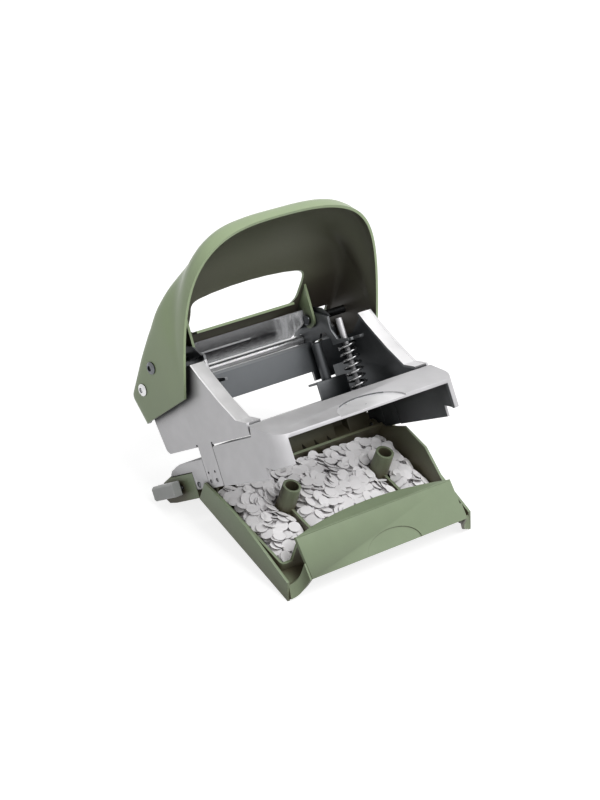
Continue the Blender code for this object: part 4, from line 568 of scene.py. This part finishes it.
# Hood tabs. Two ears of the same sheet are folded in from the back wall and lie against the arms
# of the yoke, where the rivets pass through them.
TAB_SHEET, TAB_INNER, TAB_NOSE = 0.0015, 0.0396, 0.0048
TAB_ROOT = ((0.0420, 0.0743), (0.0290, 0.0866))
NOSE_DEGREES = range(180, 301, 15)
tab_line = [*TAB_ROOT, (RIVET_Y - TAB_NOSE, RIVET_Z + TAB_NOSE)]
for degrees in NOSE_DEGREES:
    turn = math.radians(degrees)
    tab_line.append((RIVET_Y + TAB_NOSE * math.cos(turn), RIVET_Z + TAB_NOSE * math.sin(turn)))
for side, name in ((-1, "hood_tab_left"), (1, "hood_tab_right")):
    middle = Matrix.Translation((side * (TAB_INNER + TAB_SHEET / 2), 0.0, 0.0))
    tab = new_piece(
        name, flat_form(tab_line, TAB_SHEET, BODY_PLACE @ middle @ ACROSS), lacquer, "handle")
    flat_shaded(tab)
    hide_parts("handle_hood")

# Chip housing. The moulding under the paper bed carries the sliding paper stop and lets the
# punched chips fall through its chutes; its front wall ends in a row of saw teeth.
CLIP_ROUND, CLIP_EDGE_DEGREES = 0.0004, 40
CLIP_INNER, CLIP_OUTER, CLIP_FRONT, CLIP_BACK = -0.0641, -0.0694, 0.0440, 0.0630
CLIP_LOW, CLIP_TOP = -0.0003, 0.0075
CLIP_FOOT_IN, CLIP_FOOT_UP, CLIP_BROW = 0.0008, 0.0010, 0.0012
CLIP_LAND, CLIP_RIM = 0.0022, 0.0010
CLIP_GROOVE_OUT, CLIP_GROOVE_IN, CLIP_GROOVE_DEEP = 0.0020, 0.0012, 0.0008
# ABS, moulded in an eroded steel tool: a matt olive green whose fine spark texture, drawn coarser
# than it is, breaks the highlights up. Painted shade turns it dark olive brown in its hollows.
moulding = worn_and_shaded_surface(
    "olive_abs_moulding", light="#8b9a7c", dark="#5a5543", gloss=0.42, hollow=0.055,
    depth=(0.28, 0.92), cloud_mm=12.0, grain_mm=0.35, bump=0.14, mottle=0.03)
# Grey ABS, moulded in a polished tool: smoother and brighter than the green, with a little painted
# shade close to other parts.
clip_moulding = worn_and_shaded_surface(
    "grey_abs_clip", light="#b2b4b2", dark=SHEET_SHADE, gloss=0.30, hollow=0.004,
    depth=(0.05, 0.6), cloud_mm=8.0, grain_mm=0.35, bump=0.1)
dress("guide_housing", moulding)
dress("guide_bar", plated_sheet)
clip_line = [
    (CLIP_INNER, CLIP_LOW), (CLIP_OUTER + CLIP_FOOT_IN, CLIP_LOW), (CLIP_OUTER, CLIP_LOW + CLIP_FOOT_UP),
    (CLIP_OUTER, CLIP_TOP - CLIP_BROW), (CLIP_OUTER + CLIP_BROW, CLIP_TOP),
    (CLIP_INNER - CLIP_LAND, CLIP_TOP), (CLIP_INNER - CLIP_GROOVE_OUT, CLIP_TOP - CLIP_GROOVE_DEEP),
    (CLIP_INNER - CLIP_GROOVE_IN, CLIP_TOP - CLIP_GROOVE_DEEP), (CLIP_INNER - CLIP_RIM, CLIP_TOP),
    (CLIP_INNER, CLIP_TOP),
]
clip_middle = Matrix.Translation((0.0, (CLIP_BACK + CLIP_FRONT) / 2, 0.0))
clip = new_piece(
    "stop_clip", flat_form(clip_line, CLIP_BACK - CLIP_FRONT, BODY_PLACE @ clip_middle @ UPRIGHT),
    clip_moulding, "paper_guide")
flat_shaded(clip)
soften(clip, CLIP_ROUND, CLIP_EDGE_DEGREES)
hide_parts("guide_bar_clip")

# Chip tray. A box moulded in green plastic with skirts at both sides, two hollow posts on its
# floor and a sloping front panel, hung on two short steel pins. A coved toe joins panel and skirt.
TRAY_ROUND = 0.0004
TRAY_LEAN = math.radians(10.9246)
TRAY_PLACE = (
    Matrix.Translation((0.0022, 0.012987, 0.02362)) @ Matrix.Rotation(TRAY_LEAN, 4, "X")
    @ Matrix.Translation((0.0, -0.03106, -0.00275))
)
TOE_SHEET = 0.0014
TOE_COLUMNS, TOE_ROWS, TOE_FOLD_DEGREES = 14, 6, 40
TOE_LEDGE_INNER, TOE_LEDGE_OUTER = 0.0400, 0.0622
TOE_LEDGE_FRONT, TOE_LEDGE_BACK, TOE_LEDGE_TOP = -0.0462, -0.0355, 0.0006
PANEL_END, SKIRT_WALL = 0.0529, 0.0621
PANEL_HIGH, PANEL_LOW = Vector((0.0, -0.0446, 0.0120)), Vector((0.0, -0.0517, 0.0072))
SKIRT_HIGH, SKIRT_LOW = Vector((0.0, -0.0450, 0.0010)), Vector((0.0, -0.0494, -0.0050))
dress("chip_tray", moulding, round_by=TRAY_ROUND)
for side in ("left", "right"):
    dress(f"tray_hinge_pin_{side}", head_steel)
for side, name in ((-1, "tray_toe_left"), (1, "tray_toe_right")):
    bm = bmesh.new()
    bmesh.ops.create_grid(bm, x_segments=TOE_COLUMNS, y_segments=TOE_ROWS, size=1.0)
    for vert in bm.verts:
        u, v = (vert.co.x + 1) / 2, (1 - vert.co.y) / 2
        high = PANEL_HIGH.lerp(PANEL_LOW, v) + Vector((side * PANEL_END, 0.0, 0.0))
        low = SKIRT_HIGH.lerp(SKIRT_LOW, v) + Vector((side * SKIRT_WALL, 0.0, 0.0))
        cove = Vector((high.x, low.y, low.z))
        vert.co = (1 - u) ** 2 * high + 2 * u * (1 - u) * cove + u ** 2 * low
    bmesh.ops.recalc_face_normals(bm, faces=bm.faces)
    if sum(face.normal.y * face.calc_area() for face in bm.faces) > 0:
        bmesh.ops.reverse_faces(bm, faces=bm.faces)
    bmesh.ops.solidify(bm, geom=bm.faces[:], thickness=-TOE_SHEET)
    bmesh.ops.recalc_face_normals(bm, faces=bm.faces)
    ledge = bmesh.ops.create_cube(bm, size=1.0)["verts"]
    span = (TOE_LEDGE_OUTER - TOE_LEDGE_INNER, TOE_LEDGE_BACK - TOE_LEDGE_FRONT, TOE_SHEET)
    bmesh.ops.scale(bm, vec=span, verts=ledge)
    bmesh.ops.translate(bm, vec=(
        side * (TOE_LEDGE_OUTER + TOE_LEDGE_INNER) / 2, (TOE_LEDGE_BACK + TOE_LEDGE_FRONT) / 2,
        TOE_LEDGE_TOP - TOE_SHEET / 2), verts=ledge)
    bmesh.ops.transform(bm, matrix=TRAY_PLACE, verts=bm.verts)
    toe = new_piece(name, bm, moulding, "tray")
    toe.data.set_sharp_from_angle(angle=math.radians(TOE_FOLD_DEGREES))

# Paper chips. Punched discs of office paper, a little curled, lie where they fell in the tray, in
# several loose layers that rise towards the middle.
CHIP_RADIUS = 0.00325
CHIP_SHEET = 0.00012
CHIP_LAYER = 0.00062
CHIP_SIDES = 14
CHIP_COUNT, TRIES_PER_CHIP = 1500, 6
CHIP_REST_SHARE = 0.8
CHIP_WOBBLE, CHIP_CURL = 0.10, 9.0
FLATTEST, LAID_FLATTER = 0.80, 0.8
BIN_HALF = 0.0577
BIN_FRONT, BIN_BACK = -0.0341, 0.0243
FLOOR_FRONT_Z, FLOOR_BACK_Z = -0.0034, 0.0007
HEAP_HALF, HEAP_LENGTH, HEAP_MIDDLE_Y = 0.066, 0.066, -0.002
HEAP_EDGE_Z, HEAP_RISE = 0.0015, 0.0100
HEAP_SIDE_POWER, HEAP_END_POWER = 3, 0.6
CELL = 0.0010
POSTS = ((-0.032, -0.0032, 0.0056), (0.032, -0.0032, 0.0056))
RIB_CLEAR = 0.0036
CHIP_SEED = 11
# Uncoated office paper, cut by the punch: a matt white that painted shade greys in the narrow gaps
# between the discs, with a fibre grain drawn coarser than it is.
office_paper = worn_and_shaded_surface(
    "office_paper", light="#fdfbfc", dark="#c0bdbe", gloss=0.85, hollow=0.002, depth=(0.10, 0.80),
    cloud_mm=5.0, grain_mm=0.12, bump=0.05, mottle=0.02)
draw = random.Random(CHIP_SEED)
columns = int(2 * BIN_HALF / CELL) + 1
rows = int((BIN_BACK - BIN_FRONT) / CELL) + 1


def bin_floor(y):
    """The height of the tray's sloping floor at a place from front to back."""
    share = (y - BIN_FRONT) / (BIN_BACK - BIN_FRONT)
    return FLOOR_FRONT_Z + (FLOOR_BACK_Z - FLOOR_FRONT_Z) * share


pile = [[bin_floor(BIN_FRONT + j * CELL) for j in range(rows)] for _ in range(columns)]


def pile_height(x, y):
    """How high the discs lie at a place so far."""
    i = min(max(round((x + BIN_HALF) / CELL), 0), columns - 1)
    j = min(max(round((y - BIN_FRONT) / CELL), 0), rows - 1)
    return pile[i][j]


def raise_pile(x, y, middle, slope):
    """Raises the pile where a disc was laid, to the top of the disc."""
    reach = int(CHIP_RADIUS / CELL) + 1
    ci, cj = round((x + BIN_HALF) / CELL), round((y - BIN_FRONT) / CELL)
    for i in range(max(ci - reach, 0), min(ci + reach + 1, columns)):
        for j in range(max(cj - reach, 0), min(cj + reach + 1, rows)):
            dx, dy = i * CELL - BIN_HALF - x, j * CELL + BIN_FRONT - y
            if math.hypot(dx, dy) <= CHIP_RADIUS:
                level = middle - (slope.x * dx + slope.y * dy) / slope.z + CHIP_LAYER / 2
                pile[i][j] = max(pile[i][j], level)


def heap_limit(x, y):
    """The height that the heap reaches at a place: highest across the middle."""
    across = 1 - abs(x / HEAP_HALF) ** HEAP_SIDE_POWER
    along = max(math.cos(math.pi * (y - HEAP_MIDDLE_Y) / HEAP_LENGTH), 0.0) ** HEAP_END_POWER
    return HEAP_EDGE_Z + HEAP_RISE * across * along


def curled_disc(place):
    """One punched disc, curled a little about one of its diameters."""
    chip = bmesh.new()
    bmesh.ops.create_circle(chip, cap_ends=True, cap_tris=False, segments=CHIP_SIDES, radius=CHIP_RADIUS)
    grown = bmesh.ops.extrude_face_region(chip, geom=chip.faces[:])["geom"]
    upper = [item for item in grown if isinstance(item, bmesh.types.BMVert)]
    bmesh.ops.translate(chip, vec=(0, 0, CHIP_SHEET), verts=upper)
    curl, way = draw.gauss(0, CHIP_CURL), draw.uniform(0, math.pi)
    for vert in chip.verts:
        off = vert.co.x * math.cos(way) + vert.co.y * math.sin(way)
        vert.co.z += curl * (off ** 2 - CHIP_RADIUS ** 2 / 4)
    bmesh.ops.recalc_face_normals(chip, faces=chip.faces)
    bmesh.ops.transform(chip, matrix=place, verts=chip.verts)
    return chip


heap = bmesh.new()
chip_mesh = bpy.data.meshes.new("one_chip")
laid = 0
for _ in range(CHIP_COUNT * TRIES_PER_CHIP):
    if laid >= CHIP_COUNT:
        break
    x = draw.uniform(-BIN_HALF + CHIP_RADIUS, BIN_HALF - CHIP_RADIUS)
    y = draw.uniform(BIN_FRONT + CHIP_RADIUS, BIN_BACK - CHIP_RADIUS)
    if any(math.hypot(x - px, y - py) < r + CHIP_RADIUS for px, py, r in POSTS):
        continue
    if any(abs(x - px) < RIB_CLEAR and y < py for px, py, r in POSTS):
        continue
    rest = CHIP_RADIUS * CHIP_REST_SHARE
    east, west = pile_height(x + rest, y), pile_height(x - rest, y)
    north, south = pile_height(x, y + rest), pile_height(x, y - rest)
    top = max(east, west, north, south, pile_height(x, y))
    if top > heap_limit(x, y):
        continue
    slope = Vector((west - east, south - north, 2 * rest)).normalized()
    slope = (slope + Vector((draw.gauss(0, CHIP_WOBBLE), draw.gauss(0, CHIP_WOBBLE), 0))).normalized()
    if slope.z < FLATTEST:
        slope = (slope + Vector((0, 0, LAID_FLATTER))).normalized()
    rise = rest * math.hypot(slope.x, slope.y) / slope.z
    middle = max((east + west) / 2, (north + south) / 2, top - rise, pile_height(x, y)) + CHIP_LAYER / 2
    turn = Vector((0, 0, 1)).rotation_difference(slope).to_matrix().to_4x4()
    chip = curled_disc(TRAY_PLACE @ Matrix.Translation((x, y, middle)) @ turn)
    chip.to_mesh(chip_mesh)
    chip.free()
    heap.from_mesh(chip_mesh)
    raise_pile(x, y, middle, slope)
    laid += 1
bpy.data.meshes.remove(chip_mesh)
chips = new_piece("loose_chips", heap, office_paper, "tray")
flat_shaded(chips)
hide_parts("paper_chips")

# Floor and backdrop. A plain sweep of matt white board that runs out of sight and keeps the soft
# shadow of the punch.
SWEEP = 6.0
SWEEP_DROP = 0.0002
BOARD_SHADE, BOARD_GLOSS = "#adadad", 0.9
FLOOR_LIFT = 0.80


def white_to_the_eye(tree):
    """1 where the camera, metal or glass sees the white, 0 where the white lights the punch."""
    path = node(tree, "ShaderNodeLightPath")
    seen = node(tree, "ShaderNodeMath", {
        0: path.outputs["Is Camera Ray"], 1: path.outputs["Is Glossy Ray"]}, operation="MAXIMUM")
    seen = node(tree, "ShaderNodeMath", {
        0: seen.outputs[0], 1: path.outputs["Is Transmission Ray"]}, operation="MAXIMUM")
    return seen.outputs[0]


bm = bmesh.new()
bmesh.ops.create_grid(bm, x_segments=1, y_segments=1, size=SWEEP)
mesh = bpy.data.meshes.new("floor")
bm.to_mesh(mesh)
bm.free()
floor = bpy.data.objects.new("floor", mesh)
floor.location.z = cad_box[0][2] - SWEEP_DROP
bpy.context.scene.collection.objects.link(floor)
# Matt white board: it melts into the white room and shows the shadow alone.
sweep_white = bpy.data.materials.new("white_sweep")
sweep_white.use_nodes = True
tree = sweep_white.node_tree
shader = tree.nodes["Principled BSDF"]
shader.inputs["Base Color"].default_value = linear(BOARD_SHADE)
shader.inputs["Roughness"].default_value = BOARD_GLOSS
shader.inputs["Emission Color"].default_value = linear("#ffffff")
lift = node(tree, "ShaderNodeMath", {0: white_to_the_eye(tree), 1: FLOOR_LIFT}, operation="MULTIPLY")
tree.links.new(lift.outputs[0], shader.inputs["Emission Strength"])
floor.data.materials.append(sweep_white)

# Light. A large soft box high in front and to the right, a weak one at the left, and a pale room
# that fills the shadows.
AMBIENT = 0.31
KEY_PLACE, KEY_AIM, KEY_SIZE, KEY_WATTS = (0.25, -0.55, 1.35), (0.0, 0.0, 0.06), 1.1, 15.0
FILL_PLACE, FILL_AIM, FILL_SIZE, FILL_WATTS = (-0.9, -0.4, 0.9), (0.0, 0.0, 0.05), 0.9, 1.0
bpy.context.scene.view_settings.view_transform = "Standard"
room = bpy.data.worlds.new("studio")
bpy.context.scene.world = room
room.use_nodes = True
tree = room.node_tree
level = node(tree, "ShaderNodeMapRange", {"Value": white_to_the_eye(tree), "To Min": AMBIENT, "To Max": 1.0})
backdrop = tree.nodes["Background"]
backdrop.inputs["Color"].default_value = linear("#ffffff")
tree.links.new(level.outputs["Result"], backdrop.inputs["Strength"])


def soft_box(name, place, target, size, power):
    """A square lamp at a place, turned to its target."""
    lamp = bpy.data.lights.new(name, "AREA")
    lamp.size = size
    lamp.energy = power
    made = bpy.data.objects.new(name, lamp)
    bpy.context.scene.collection.objects.link(made)
    made.location = place
    aim = Vector(target) - Vector(place)
    made.rotation_euler = aim.to_track_quat("-Z", "Y").to_euler()


soft_box("key_light", KEY_PLACE, KEY_AIM, KEY_SIZE, KEY_WATTS)
soft_box("fill_light", FILL_PLACE, FILL_AIM, FILL_SIZE, FILL_WATTS)
